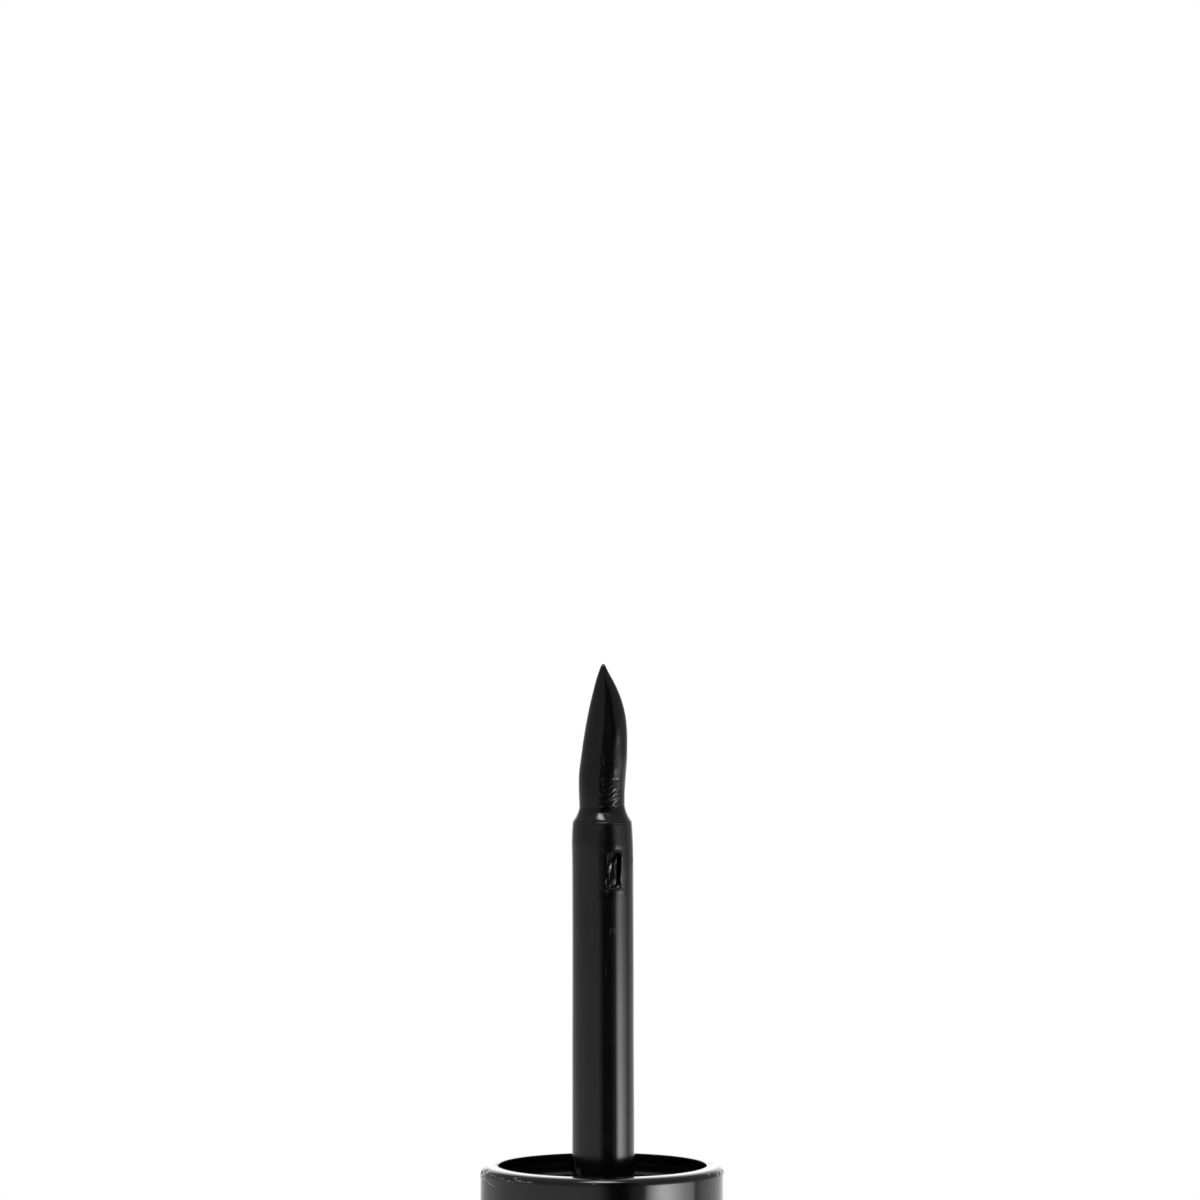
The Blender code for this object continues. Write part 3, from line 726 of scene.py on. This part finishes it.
outline = drawn(
    (0, stem_bottom, 0),
    (plug_radius - plug_chamfer, stem_bottom, 0.1),
    (plug_radius, stem_bottom + plug_chamfer, 0.1),
    (plug_radius, plug_top, 0.1),
    (wand_radius, plug_top, 0),
    (wand_radius, wand_taper[0], 0),
    (wall_at_window, wand_taper[1], 4.0),
    (wall_at_window, window_centre + window_room[0], 0),
    (wall_at_window, window_centre + window_room[1], 0.1),
    (wand_ends[0], stem_top - end_drops[0], 0.2),
    (wand_ends[1], stem_top - end_drops[1], 0.03),
    (wand_ends[2], stem_top, 0.03),
    (bore_radius, stem_top, 0.08),
    (bore_radius, window_centre + window_room[1], 0),
    (bore_radius, window_centre + window_room[0], 0),
    (bore_radius, bore_bottom, 0),
    (0, bore_bottom, 0),
    arc=5,
)
long_edges = []
for edge in outline.edges:
    low, high = sorted(v.co.z - window_centre for v in edge.verts)
    in_room = low >= window_room[0] - room_slack and high <= window_room[1] + room_slack
    if in_room and high - low > long_edge:
        long_edges.append(edge)
bmesh.ops.subdivide_edges(outline, edges=long_edges, cuts=window_rows - 1)
bm = turned(outline, stem_sides)
window_across = bm.verts.layers.float.new("across")
window_up = bm.verts.layers.float.new("up")
column = 360 / stem_sides
opening = []
for face in bm.faces:
    middle = face.calc_center_median()
    beside = abs(front_turn(middle)) < window_columns * column
    if beside and abs(middle.z - window_centre) < window_reach and middle.xy.length > bore_radius / 2:
        opening.append(face)
bmesh.ops.delete(bm, geom=opening, context="FACES")
hole_edges = [e for e in bm.edges if e.is_boundary]
half_width = wall_at_window * math.sin(math.radians(window_columns * column))
half_height = max(v.co.z for e in hole_edges for v in e.verts) - window_centre
for v in {v for e in hole_edges for v in e.verts}:
    v[window_across] = math.sin(math.radians(front_turn(v.co))) * wall_at_window / half_width
    v[window_up] = (v.co.z - window_centre) / half_height


def beside_window(v, outside, radius):
    """Moves a vertex to the window's rounded outline, widened by outside, at a radius of the wand."""
    half = [h + outside for h in window_half]
    rounding = window_rounding + outside
    spot = Vector((v[window_across] * half[0], v[window_up] * half[1]))
    inner = Vector((half[0] - rounding, half[1] - rounding))
    corner = Vector((math.copysign(inner.x, spot.x), math.copysign(inner.y, spot.y)))
    if abs(spot.x) > inner.x and abs(spot.y) > inner.y:
        spot = corner + (spot - corner).normalized() * rounding
    own = max(0, 1 - outside / window_blend)
    arch = own * window_arch[0 if spot.y > 0 else 1] * (1 - (spot.x / half[0]) ** 2)
    aside = own * window_lean * (spot.y / window_half[1] - 1) / 2
    bent = math.copysign(arch, spot.y) * abs(spot.y) / half[1]
    tall = 1 if spot.y > 0 else 1 - own * (1 - window_foot)
    spot = Vector((spot.x + aside, spot.y * tall + bent))
    v.co = (spot.x, -math.sqrt(radius * radius - spot.x * spot.x), window_centre + spot.y)


def lined(edges, loops, radius):
    """Extrudes a hole's edge from loop to loop, each so far outside the window and below the radius.

    Beside the window the loops lie closer, at loop_share of that distance.
    """
    for outside, beside, above, under in loops:
        made = bmesh.ops.extrude_edge_only(bm, edges=edges)["geom"]
        edges = [g for g in made if isinstance(g, bmesh.types.BMEdge) and g.is_boundary]
        for v in {v for e in edges for v in e.verts}:
            ending = min(1, abs(v[window_up])) ** 4
            sunk = beside + ((above if v[window_up] > 0 else under) - beside) * ending
            beside_window(v, outside * (loop_share + (1 - loop_share) * ending), radius - sunk)


def between(rows, at):
    """The values at a height, from rows of a height and values: they change evenly from row to row."""
    for low, high in zip(rows, rows[1:]):
        if at <= high[0]:
            share = held((at - low[0]) / (high[0] - low[0]))
            return [a + (b - a) * share for a, b in zip(low[1:], high[1:])]
    return rows[-1][1:]


def swollen(turn, height, swells):
    """How far a surface stands out at a turn and height, from rows of swells such as the wand's."""
    out = 0
    for at, lift, wide, tall, swell_height in swells:
        reach = ((turn - at) / wide) ** 2 + ((height - lift) / tall) ** 2
        out += swell_height * math.exp(-reach)
    return out


outer_edges = [e for e in hole_edges if e.verts[0].co.xy.length > (wall_at_window + bore_radius) / 2]
bore_edges = [e for e in hole_edges if e not in outer_edges]
lined(outer_edges, edge_loops, wall_at_window)
lined(bore_edges, bore_loops, bore_radius)
bmesh.ops.remove_doubles(bm, verts=bm.verts, dist=merge_gap)
window_way = Matrix.Rotation(math.radians(window_turn), 3, "Z")
bmesh.ops.rotate(bm, verts=bm.verts, cent=(0, 0, 0), matrix=window_way)
for v in bm.verts:
    across = v.co.xy.length
    if across < bore_radius / 2:
        continue
    turn = front_turn(v.co)
    rise = v.co.z - stem_top
    aside = (turn - flat_turn * (1 - held((rise + round_end[0]) / round_end[1]))) / flat_spread
    out = wave_depth * noise.noise(v.co * wave_scale) - flat_depth * math.exp(-aside * aside / 2)
    out *= held((flat_fade[0] - rise) / flat_fade[1])
    if across > bore_radius + bore_skin:
        out += swollen(turn, v.co.z - window_centre, wand_swells)
    v.co.xy *= 1 + out / across
    v.co.x += between(wand_leans, rise)[0]
satin = satin_black("stem_satin_black", stem_black, 0.12, 0.0006, 1.43)
wand = on_axis("stem_satin", bm, wand_x, satin)
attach(wand, "applicator")
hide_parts("stem")

# The holder: a thin black sleeve round the felt's shank, pushed into the wand's bore. Its catch snaps
# out into the window, and has a slope below so that it could slide in.
holder_low, holder_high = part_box("tip_holder")
holder_radius = bore_radius - press_gap
holder_wall = 0.25
holder_sides = 128
holder_black = (0.001, 0.001, 0.001)
catch_size = (0.86, 1.90)
catch_grid = (60, 110)
catch_face = 1.38
catch_foot = 1.0
catch_edge = 0.1
catch_tilt = 0.17
catch_slope = (0.20, 0.36)
# Each ridge on the catch runs from a place across and up in the window to another, then width and height
catch_ridges = (
    (-0.14, 0.58, -0.29, -0.08, 0.070, 0.038),
    (-0.27, 0.06, -0.20, -0.72, 0.045, 0.014),
    (0.32, 0.90, 0.00, 0.36, 0.075, 0.018),
    (0.03, 0.50, 0.11, -0.36, 0.055, 0.014),
    (-0.34, 0.90, 0.02, 0.96, 0.110, 0.012),
    (0.05, -0.30, -0.03, -0.82, 0.075, 0.044),
    (-0.21, -0.66, -0.20, -0.96, 0.045, 0.012),
)

outline = drawn(
    (holder_radius, holder_low.z / MM, 0.08),
    (holder_radius, holder_high.z / MM, 0.06),
    (holder_radius - holder_wall, holder_high.z / MM, 0.06),
    (holder_radius - holder_wall, holder_low.z / MM, 0.08),
    arc=3,
)
bm = turned(closed(outline), holder_sides)
catch = bmesh.new()
bmesh.ops.create_grid(catch, x_segments=catch_grid[0], y_segments=catch_grid[1], size=0.5)
bmesh.ops.scale(catch, verts=catch.verts, vec=(*catch_size, 1))
low, high = catch_slope
for v in catch.verts:
    spot = v.co.xy
    out = catch_face + catch_tilt * spot.x
    for x, z, to_x, to_z, width, height in catch_ridges:
        reach, part = off_line(spot, Vector((x, z)), Vector((to_x, to_z)))
        out += height * 4 * part * (1 - part) * math.exp(-((reach / width) ** 2) / 2)
    sunk = held((spot.x - low) / (high - low))
    out += (catch_foot + catch_edge - out) * sunk * sunk
    v.co = (spot.x, -out, window_centre + spot.y)
sides = bmesh.ops.extrude_edge_only(catch, edges=[e for e in catch.edges if e.is_boundary])["geom"]
for v in (g for g in sides if isinstance(g, bmesh.types.BMVert)):
    v.co.y = -catch_foot
bmesh.ops.holes_fill(catch, edges=[e for e in catch.edges if e.is_boundary], sides=0)
bm = combined(bm, catch, "UNION")
bmesh.ops.rotate(bm, verts=bm.verts, cent=(0, 0, 0), matrix=window_way)
satin = satin_black("holder_black", holder_black, 0.10, 0.0002)
holder = on_axis("tip_holder_sleeve", bm, wand_x, satin)
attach(holder, "applicator")
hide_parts("tip_holder")

# The felt tip: pressed fibres ground to a point that leans to the right, soaked and filmed over with
# ink. Its thinner shank is gripped by the holder.
felt_low, felt_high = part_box("felt_tip")
apex = felt_high.z / MM
felt_seat = stem_top + press_gap
shank_radius = holder_radius - holder_wall - press_gap
shank_edge = 0.1
seat_edges = (0.12, 0.02)
felt_sides = 36
felt_levels = 3
felt_black = (0.0016, 0.0016, 0.0016)
# Each station is a height above the wand's end, a half width, a half depth and a lean to the right
stations = (
    (0.10, 1.30, 1.29, -0.01),
    (0.60, 1.298, 1.296, -0.015),
    (1.13, 1.300, 1.298, -0.03),
    (1.81, 1.322, 1.290, -0.038),
    (2.40, 1.345, 1.266, -0.018),
    (2.95, 1.350, 1.236, 0.016),
    (3.50, 1.332, 1.200, 0.08),
    (4.18, 1.296, 1.164, 0.13),
    (4.86, 1.246, 1.116, 0.183),
    (5.54, 1.172, 1.050, 0.226),
    (6.20, 1.060, 0.945, 0.242),
    (6.78, 0.920, 0.815, 0.228),
    (7.27, 0.771, 0.690, 0.202),
    (7.70, 0.617, 0.555, 0.161),
    (8.05, 0.479, 0.435, 0.118),
    (8.35, 0.340, 0.315, 0.078),
    (8.60, 0.226, 0.21, 0.054),
    (8.80, 0.148, 0.14, 0.05),
    (8.92, 0.074, 0.07, 0.05),
    (8.94, 0.02, 0.02, 0.05),
)
# Each swell of the wet film is a turn, a height above the wand's end, its half width and height, and depth
film_swells = (
    (38, 5.15, 11, 0.55, 0.030),
    (30, 3.10, 10, 0.30, 0.008),
    (31, 1.66, 9, 0.42, 0.012),
    (15.6, 1.40, 2.6, 0.06, 0.014),
    (11.0, 1.24, 2.6, 0.07, 0.014),
    (16.7, 0.95, 3.0, 0.06, 0.012),
    (8.2, 1.63, 4.0, 0.05, 0.008),
    (26.5, 1.10, 3.0, 0.08, 0.010),
    (36.5, 0.97, 2.6, 0.05, 0.012),
)
# Each furrow in the film runs from a turn and a height to another, and has a half width and a depth
film_furrows = (
    (16.7, 1.87, 24.6, 2.04, 0.055, 0.010),
    (18.5, 1.60, 31.7, 1.83, 0.055, 0.013),
    (29.4, 1.50, 37.0, 1.59, 0.050, 0.010),
    (33.2, 1.08, 51.0, 1.35, 0.055, 0.013),
    (22.7, 1.25, 28.3, 1.28, 0.050, 0.011),
    (23.5, 2.36, 27.0, 2.42, 0.070, 0.008),
    (37.5, 2.40, 40.0, 2.44, 0.060, 0.008),
    (26.0, 1.42, 33.0, 1.52, 0.045, 0.006),
    (36.0, 1.72, 44.0, 1.90, 0.045, 0.006),
)
furrow_turns = (0, 60)
# Between these heights edges over the least length are cut again, for the furrows
film_fine = (0.7, 3.9)
film_edge = 0.02
film_cuts = 2
film_foot = 0.3
flat_taper = 4
fibre_depth = 0.002
fibre_scale = Vector((7.0, 7.0, 1.6))
felt_lean = 0.03
# The film's left edge is ragged: the turn it follows, its half width in degrees, its top, depth and grain
ragged_turn = -4.0
ragged_spread = 8.0
ragged_top = 4.4
ragged_depth = 0.026
ragged_scale = (5.5, 5.0)
ragged_slice = 7.7


def smoothed(bm, levels):
    """The bmesh after that many levels of a Subdivision Surface modifier."""
    carrier = unseen(bm)
    modifier = carrier.modifiers.new("smoothed", "SUBSURF")
    modifier.levels = modifier.render_levels = levels
    return solved(carrier)


def stacked(rings, sides):
    """Oval rings of (height, half width, half depth, lean), each extruded from the one below it."""
    bm = bmesh.new()
    below, *above = rings
    bmesh.ops.create_circle(bm, segments=sides, radius=1)
    bmesh.ops.scale(bm, verts=bm.verts, vec=(below[1], below[2], 1))
    bmesh.ops.translate(bm, verts=bm.verts, vec=(below[3], 0, below[0]))
    edges = bm.edges[:]
    for ring in above:
        made = bmesh.ops.extrude_edge_only(bm, edges=edges)["geom"]
        verts = [g for g in made if isinstance(g, bmesh.types.BMVert)]
        edges = [g for g in made if isinstance(g, bmesh.types.BMEdge)]
        centre = Matrix.Translation((-below[3], 0, 0))
        bmesh.ops.scale(bm, verts=verts, space=centre, vec=(ring[1] / below[1], ring[2] / below[2], 1))
        bmesh.ops.translate(bm, verts=verts, vec=(ring[3] - below[3], 0, ring[0] - below[0]))
        below = ring
    return bm


def ends_of(bm):
    """The open rings of edges of a stacked bmesh, the lowest first."""
    edges = [e for e in bm.edges if e.is_boundary]
    edges.sort(key=lambda e: e.verts[0].co.z)
    return edges[: len(edges) // 2], edges[len(edges) // 2 :]


bottom = felt_low.z / MM
swell = 3 / (2 + math.cos(2 * math.pi / felt_sides))
shank_heights = (bottom, bottom + shank_edge, felt_seat - seat_edges[0], felt_seat - seat_edges[1])
shank = [(z, shank_radius, shank_radius, 0) for z in shank_heights]
body = [(stem_top + rise, width, depth, lean) for rise, width, depth, lean in stations]
bm = stacked([(z, width * swell, depth * swell, lean) for z, width, depth, lean in shank + body], felt_sides)
for edges in ends_of(bm):
    bmesh.ops.contextual_create(bm, geom=edges)
bm = smoothed(bm, felt_levels)
tall_edges = []
for edge in bm.edges:
    low, high = sorted(v.co.z - stem_top for v in edge.verts)
    if low > film_fine[0] and high < film_fine[1] and high - low > film_edge:
        tall_edges.append(edge)
bmesh.ops.subdivide_edges(bm, edges=tall_edges, cuts=film_cuts)
for v in bm.verts:
    if v.co.z < felt_seat + film_foot:
        continue
    rise = v.co.z - stem_top
    way = Vector((v.co.x - felt_lean * rise, v.co.y, 0))
    turn = front_turn(way)
    depth = fibre_depth * noise.noise(v.co * fibre_scale)
    aside = (turn - flat_turn) / flat_spread
    depth -= flat_depth * math.exp(-aside * aside / 2) * min(1, (apex - v.co.z) / flat_taper)
    depth += swollen(turn, rise, film_swells)
    arc = math.radians(way.length)
    spot = Vector((turn * arc, rise))
    if film_fine[0] < rise < film_fine[1] and furrow_turns[0] < turn < furrow_turns[1]:
        for at, low, to, high, width, deep in film_furrows:
            reach = off_line(spot, Vector((at * arc, low)), Vector((to * arc, high)))[0] / width
            depth -= deep * math.exp(-reach * reach)
    ragged = math.exp(-(((turn - ragged_turn) / ragged_spread) ** 2))
    ragged *= held(ragged_top - rise)
    edge_spot = Vector((spot.x * ragged_scale[0], spot.y * ragged_scale[1], ragged_slice))
    depth += ragged * ragged_depth * noise.noise(edge_spot)
    v.co += way.normalized() * depth


def wet_felt(name):
    """Black felt under a film of wet ink: fibres run lengthwise and show where the film is thin."""
    material, tree, shader, place = finish_start(name, IOR=1.38)
    fibres = grain(tree, place, 9.0, detail=3.0, roughness=0.6, stretch=(1.0, 1.0, 0.16))
    pools = grain(tree, place, 0.9, detail=3.0, roughness=0.55, distortion=0.7)
    black = mixed_colour(tree, fibres, felt_black, 2.2)
    finished(tree, shader, black, fade(tree, pools, 0.35, 0.65, 0.09, 0.15))
    bumped(tree, shader, fibres, 0.0012)
    return material


felt = on_axis("felt_nib", bm, wand_x, wet_felt("felt_inked_black"), crease=60)
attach(felt, "applicator")
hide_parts("felt_tip")

# The ink at the foot of the tip: a collar of wet ink that has crept out on to the wand's end, with one
# drop standing at the front. It is liquid, and clings by itself.
collar_levels = 3
collar_sides = 48
collar_lean = -0.009
flat_rise = 0.6
# The drop: the turn it stands at, its half width in degrees, its top, and how its front curves outwards
drop_turn = -6.0
drop_spread = 25.0
drop_top = 0.54
drop_lowest = 0.02
drop_foot = 1.42
drop_curve = (0.70, 0.75)
drop_limit = 1.675
drop_wall = 1.28
ink_black = (0.0010, 0.0010, 0.0011)
# Each ring is a height above the wand's end and a radius, from the lip over the wand's shoulder upwards
foot_rings = (
    (0.012, 1.20),
    (0.012, 1.60),
    (-0.050, 1.690),
    (-0.02, 1.702),
    (0.03, 1.692),
    (0.10, 1.650),
    (0.20, 1.585),
    (0.34, 1.495),
    (0.50, 1.415),
    (0.66, 1.355),
    (0.78, 1.322),
    (0.90, 1.300),
    (0.98, 1.275),
    (1.02, 1.18),
)


def wet_ink(name):
    """Wet black ink: almost mirror smooth, with a faint skin where it starts to dry."""
    material, tree, shader, place = finish_start(name, IOR=1.4)
    skin = grain(tree, place, 1.6, detail=3.0, roughness=0.6, distortion=0.5)
    black = mixed_colour(tree, skin, ink_black, 1.8)
    finished(tree, shader, black, fade(tree, skin, 0.35, 0.7, 0.07, 0.2))
    bumped(tree, shader, grain(tree, place, 5.0), 0.003)
    return material


swell = 3 / (2 + math.cos(2 * math.pi / collar_sides))
rings = [(stem_top + rise, radius * swell, radius * swell, collar_lean) for rise, radius in foot_rings]
bm = stacked(rings, collar_sides)
bmesh.ops.bridge_loops(bm, edges=[e for e in bm.edges if e.is_boundary])
bm = smoothed(bm, collar_levels)
for v in bm.verts:
    rise = v.co.z - stem_top
    across = v.co.xy.length
    turn = front_turn(v.co)
    flat = math.exp(-(((turn - flat_turn) / flat_spread) ** 2) / 2) * held(rise / flat_rise)
    v.co.xy *= 1 - flat_depth * flat / across
    aside = (turn - drop_turn) / drop_spread
    below = drop_top * math.sqrt(max(0, 1 - aside ** 4)) - rise
    if below < 0 or rise < drop_lowest or across < drop_wall:
        continue
    radius = drop_foot + drop_curve[0] * below - drop_curve[1] * below ** 3
    v.co.xy *= max(1, min(radius, drop_limit) / across)
collar = on_axis("ink_collar", bm, wand_x, wet_ink("ink_wet_black"), crease=60)
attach(collar, "applicator")

# The bottle: moulded in the cap's gloss black, with thick walls, a recessed foot and a collar that
# the cap slides over. The neck carries the thread, and its roof slopes so that the last ink runs down.
bottle_low, bottle_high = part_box("bottle")
bottle_x = (bottle_low.x + bottle_high.x) / 2 / MM
bottle_radius = (bottle_high.x - bottle_low.x) / 2 / MM
neck_top = bottle_high.z / MM
neck_height = 9.0
shoulder = neck_top - neck_height
neck_radius = 4.5
neck_bore = 3.2
collar_radius = 5.75
collar_height = 1.1
collar_top = shoulder + collar_height
bottle_wall = 1.4
inner_radius = bottle_radius - bottle_wall
roof_drops = (0.3, 2.0)
bottle_floor = 1.6
foot_recess = 0.4
foot_ring = 2.1
bottle_sides = 320
neck_thread_rise = 1.75
neck_thread_start = collar_top + neck_thread_rise
neck_thread_turns = 2.0

outline = drawn(
    (0, foot_recess, 0),
    (bottle_radius - foot_ring, foot_recess, 0.08),
    (bottle_radius - foot_ring, 0, 0.12),
    (bottle_radius, 0, 0.7),
    (bottle_radius, shoulder, 0.45),
    (collar_radius, shoulder, 0.06),
    (collar_radius, collar_top, 0.15),
    (neck_radius, collar_top, 0.12),
    (neck_radius, neck_top, 0.2),
    (neck_bore, neck_top, 0.12),
    (neck_bore, shoulder - roof_drops[0], 0.3),
    (inner_radius, shoulder - roof_drops[1], 0.3),
    (inner_radius, bottle_floor, 0.8),
    (0, bottle_floor, 0),
    arc=8,
)
bm = turned(outline, bottle_sides)
ridge = thread(neck_radius, neck_radius + thread_depth, neck_thread_start, neck_thread_turns, bottle_sides)
bm = combined(bm, ridge, "UNION")
bottle = on_axis("bottle_threaded", bm, bottle_x, gloss_black("bottle_gloss_black"))
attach(bottle, "bottle_body")
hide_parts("bottle")

# The base label: a bare round label of pulpy paper, with a few longer fibres in it. It is stuck in the
# recess of the bottle's foot, clear of what the bottle stands on.
label_low, label_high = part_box("base_label")
label_radius = (label_high.x - label_low.x) / 2 / MM
label_sides = 160
paper_colour = (0.62, 0.61, 0.58)
paper_fibre = (0.434, 0.427, 0.406)

outline = drawn(
    (0, label_low.z / MM, 0),
    (label_radius, label_low.z / MM, 0.05),
    (label_radius, label_high.z / MM, 0.05),
    (0, label_high.z / MM, 0),
    arc=3,
)
paper, tree, shader, place = finish_start("label_paper", IOR=1.5, Roughness=0.6)
pulp = grain(tree, place, 6.0, detail=4.0, roughness=0.6)
threads = grain(tree, place, 3.0, stretch=(1.0, 6.0, 1.0), distortion=0.6)
shaded = mixed_colour(tree, pulp, paper_colour, 0.86)
shaded = mixed_colour(tree, fade(tree, threads, 0.62, 0.7), shaded, paper_fibre)
tree.links.new(shaded, shader.inputs["Base Color"])
bumped(tree, shader, pulp, 0.01)
label = on_axis("label_bare", turned(outline, label_sides), bottle_x, paper)
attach(label, "bottle_body")
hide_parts("base_label")

# The wiper: a soft milky insert pushed into the neck. Its flange seals the lip, and the small hole at
# the foot of its cone scrapes the wand as it is drawn out. Ink stains the inside of the cone.
wiper_low, wiper_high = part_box("wiper")
flange_radius = (wiper_high.x - wiper_low.x) / 2 / MM
flange_top = wiper_high.z / MM
wiper_seat = neck_top + press_gap
sleeve_radius = neck_bore - press_gap
sleeve_wall = 0.42
wiper_bore = sleeve_radius - sleeve_wall
sleeve_length = 4.8
cone_length = 2.3
cone_top = wiper_seat - sleeve_length
cone_bottom = cone_top - cone_length
funnel_size = 0.25
wiper_hole = 1.62
scraper_wall = 0.3
wiper_sides = 200
milky = (0.72, 0.72, 0.68)
stained = (0.01, 0.01, 0.011)
stain_rises = (0.9, -0.7)
stain_mottle = 1.6

outline = drawn(
    (flange_radius, wiper_seat, 0.08),
    (flange_radius, flange_top, 0.15),
    (wiper_bore + funnel_size, flange_top, 0.18),
    (wiper_bore, wiper_seat - funnel_size, 0.2),
    (wiper_bore, cone_top, 0.6),
    (wiper_hole, cone_bottom, 0.1),
    (wiper_hole, wiper_low.z / MM, 0.05),
    (wiper_hole + scraper_wall, wiper_low.z / MM, 0.1),
    (sleeve_radius, cone_top, 0.4),
    (sleeve_radius, wiper_seat, 0),
    arc=5,
)
soft, tree, shader, place = finish_start(
    "wiper_natural", IOR=1.5, Subsurface_Weight=0.35, Subsurface_Scale=0.001
)
cloud = grain(tree, place, 0.7, detail=3.0, roughness=0.55)
below = node(tree, "SeparateXYZ", {"Vector": place}).outputs["Z"]
mottle = grain(tree, place, 1.4, detail=4.0, roughness=0.65)
stain = calc(tree, "ADD", below, calc(tree, "MULTIPLY", mottle, stain_mottle))
stain = fade(tree, stain, *(neck_top + rise for rise in stain_rises))
shaded = mixed_colour(tree, cloud, milky, 0.92)
shaded = mixed_colour(tree, stain, shaded, stained)
finished(tree, shader, shaded, fade(tree, stain, 0.0, 1.0, 0.42, 0.2))
bumped(tree, shader, grain(tree, place, 3.0, detail=3.0), 0.006)
wiper = on_axis("wiper_soft", turned(closed(outline), wiper_sides), bottle_x, soft)
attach(wiper, "bottle_body")
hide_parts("wiper")

# The ink in the bottle: a still pool of water-thin black ink that climbs a little at the wall. It fills
# the bottle from its floor up, and lies round the two balls.
ink_low, ink_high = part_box("ink")
pool_radius = (ink_high.x - ink_low.x) / 2 / MM
pool_edge = ink_high.z / MM
climb = 0.3
climb_wall = 0.12
climb_width = 0.7
pool_level = pool_edge - climb
pool_sides = 160
ball_boxes = [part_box("mixing_ball_left"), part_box("mixing_ball_right")]
ball_x = [(low.x + high.x) / 2 / MM - bottle_x for low, high in ball_boxes]
ball_z = sum(corner.z for corner in ball_boxes[0]) / 2 / MM
ball_radius = 1.5
pocket_gap = 0.1

outline = drawn(
    (0, ink_low.z / MM, 0),
    (pool_radius, ink_low.z / MM, 0.8),
    (pool_radius, pool_edge, 0),
    (pool_radius - climb_wall, pool_level + climb_wall, 0.05),
    (pool_radius - climb_width, pool_level, 0.3),
    (0, pool_level, 0),
)
bm = turned(outline, pool_sides)
pockets = bmesh.new()
for x in ball_x:
    shift = Matrix.Translation((x, 0, ball_z))
    bmesh.ops.create_icosphere(pockets, subdivisions=4, radius=ball_radius + pocket_gap, matrix=shift)
bm = combined(bm, pockets, "DIFFERENCE")
ink = on_axis("ink_pool", bm, bottle_x, wet_ink("ink_pool_black"))
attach(ink, "bottle_body")
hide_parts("ink")

# The mixing balls: two polished stainless balls that stir the ink when the bottle is shaken. They are
# loose. Tumbling has given them a fine web of scratches and a few flat spots.
steel_colour = (0.56, 0.55, 0.53)
worn_depth = 0.012
worn_scale = 1.3
worn_from = 0.25

for side, body, x in (("left", "left_ball", ball_x[0]), ("right", "right_ball", ball_x[1])):
    steel, tree, shader, place = finish_start(f"ball_steel_{side}", Metallic=1.0)
    web = hairlines(tree, place, 2.5, stretch=(1.0, 1.0, 0.3), width=0.02)
    haze = grain(tree, place, 1.2, detail=3.0)
    shaded = mixed_colour(tree, haze, steel_colour, 0.85)
    rough = calc(tree, "ADD", fade(tree, haze, 0.3, 0.7, 0.14, 0.22), calc(tree, "MULTIPLY", web, 0.2))
    finished(tree, shader, shaded, rough)
    bm = bmesh.new()
    bmesh.ops.create_icosphere(bm, subdivisions=5, radius=ball_radius)
    for v in bm.verts:
        worn = max(0, noise.noise(v.co * worn_scale + Vector((x, 0, 0))) - worn_from)
        v.co *= 1 - worn_depth * worn
    bmesh.ops.translate(bm, verts=bm.verts, vec=(x, 0, ball_z))
    ball = on_axis(f"ball_{side}_polished", bm, bottle_x, steel, crease=80)
    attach(ball, body)
    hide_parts(f"mixing_ball_{side}")
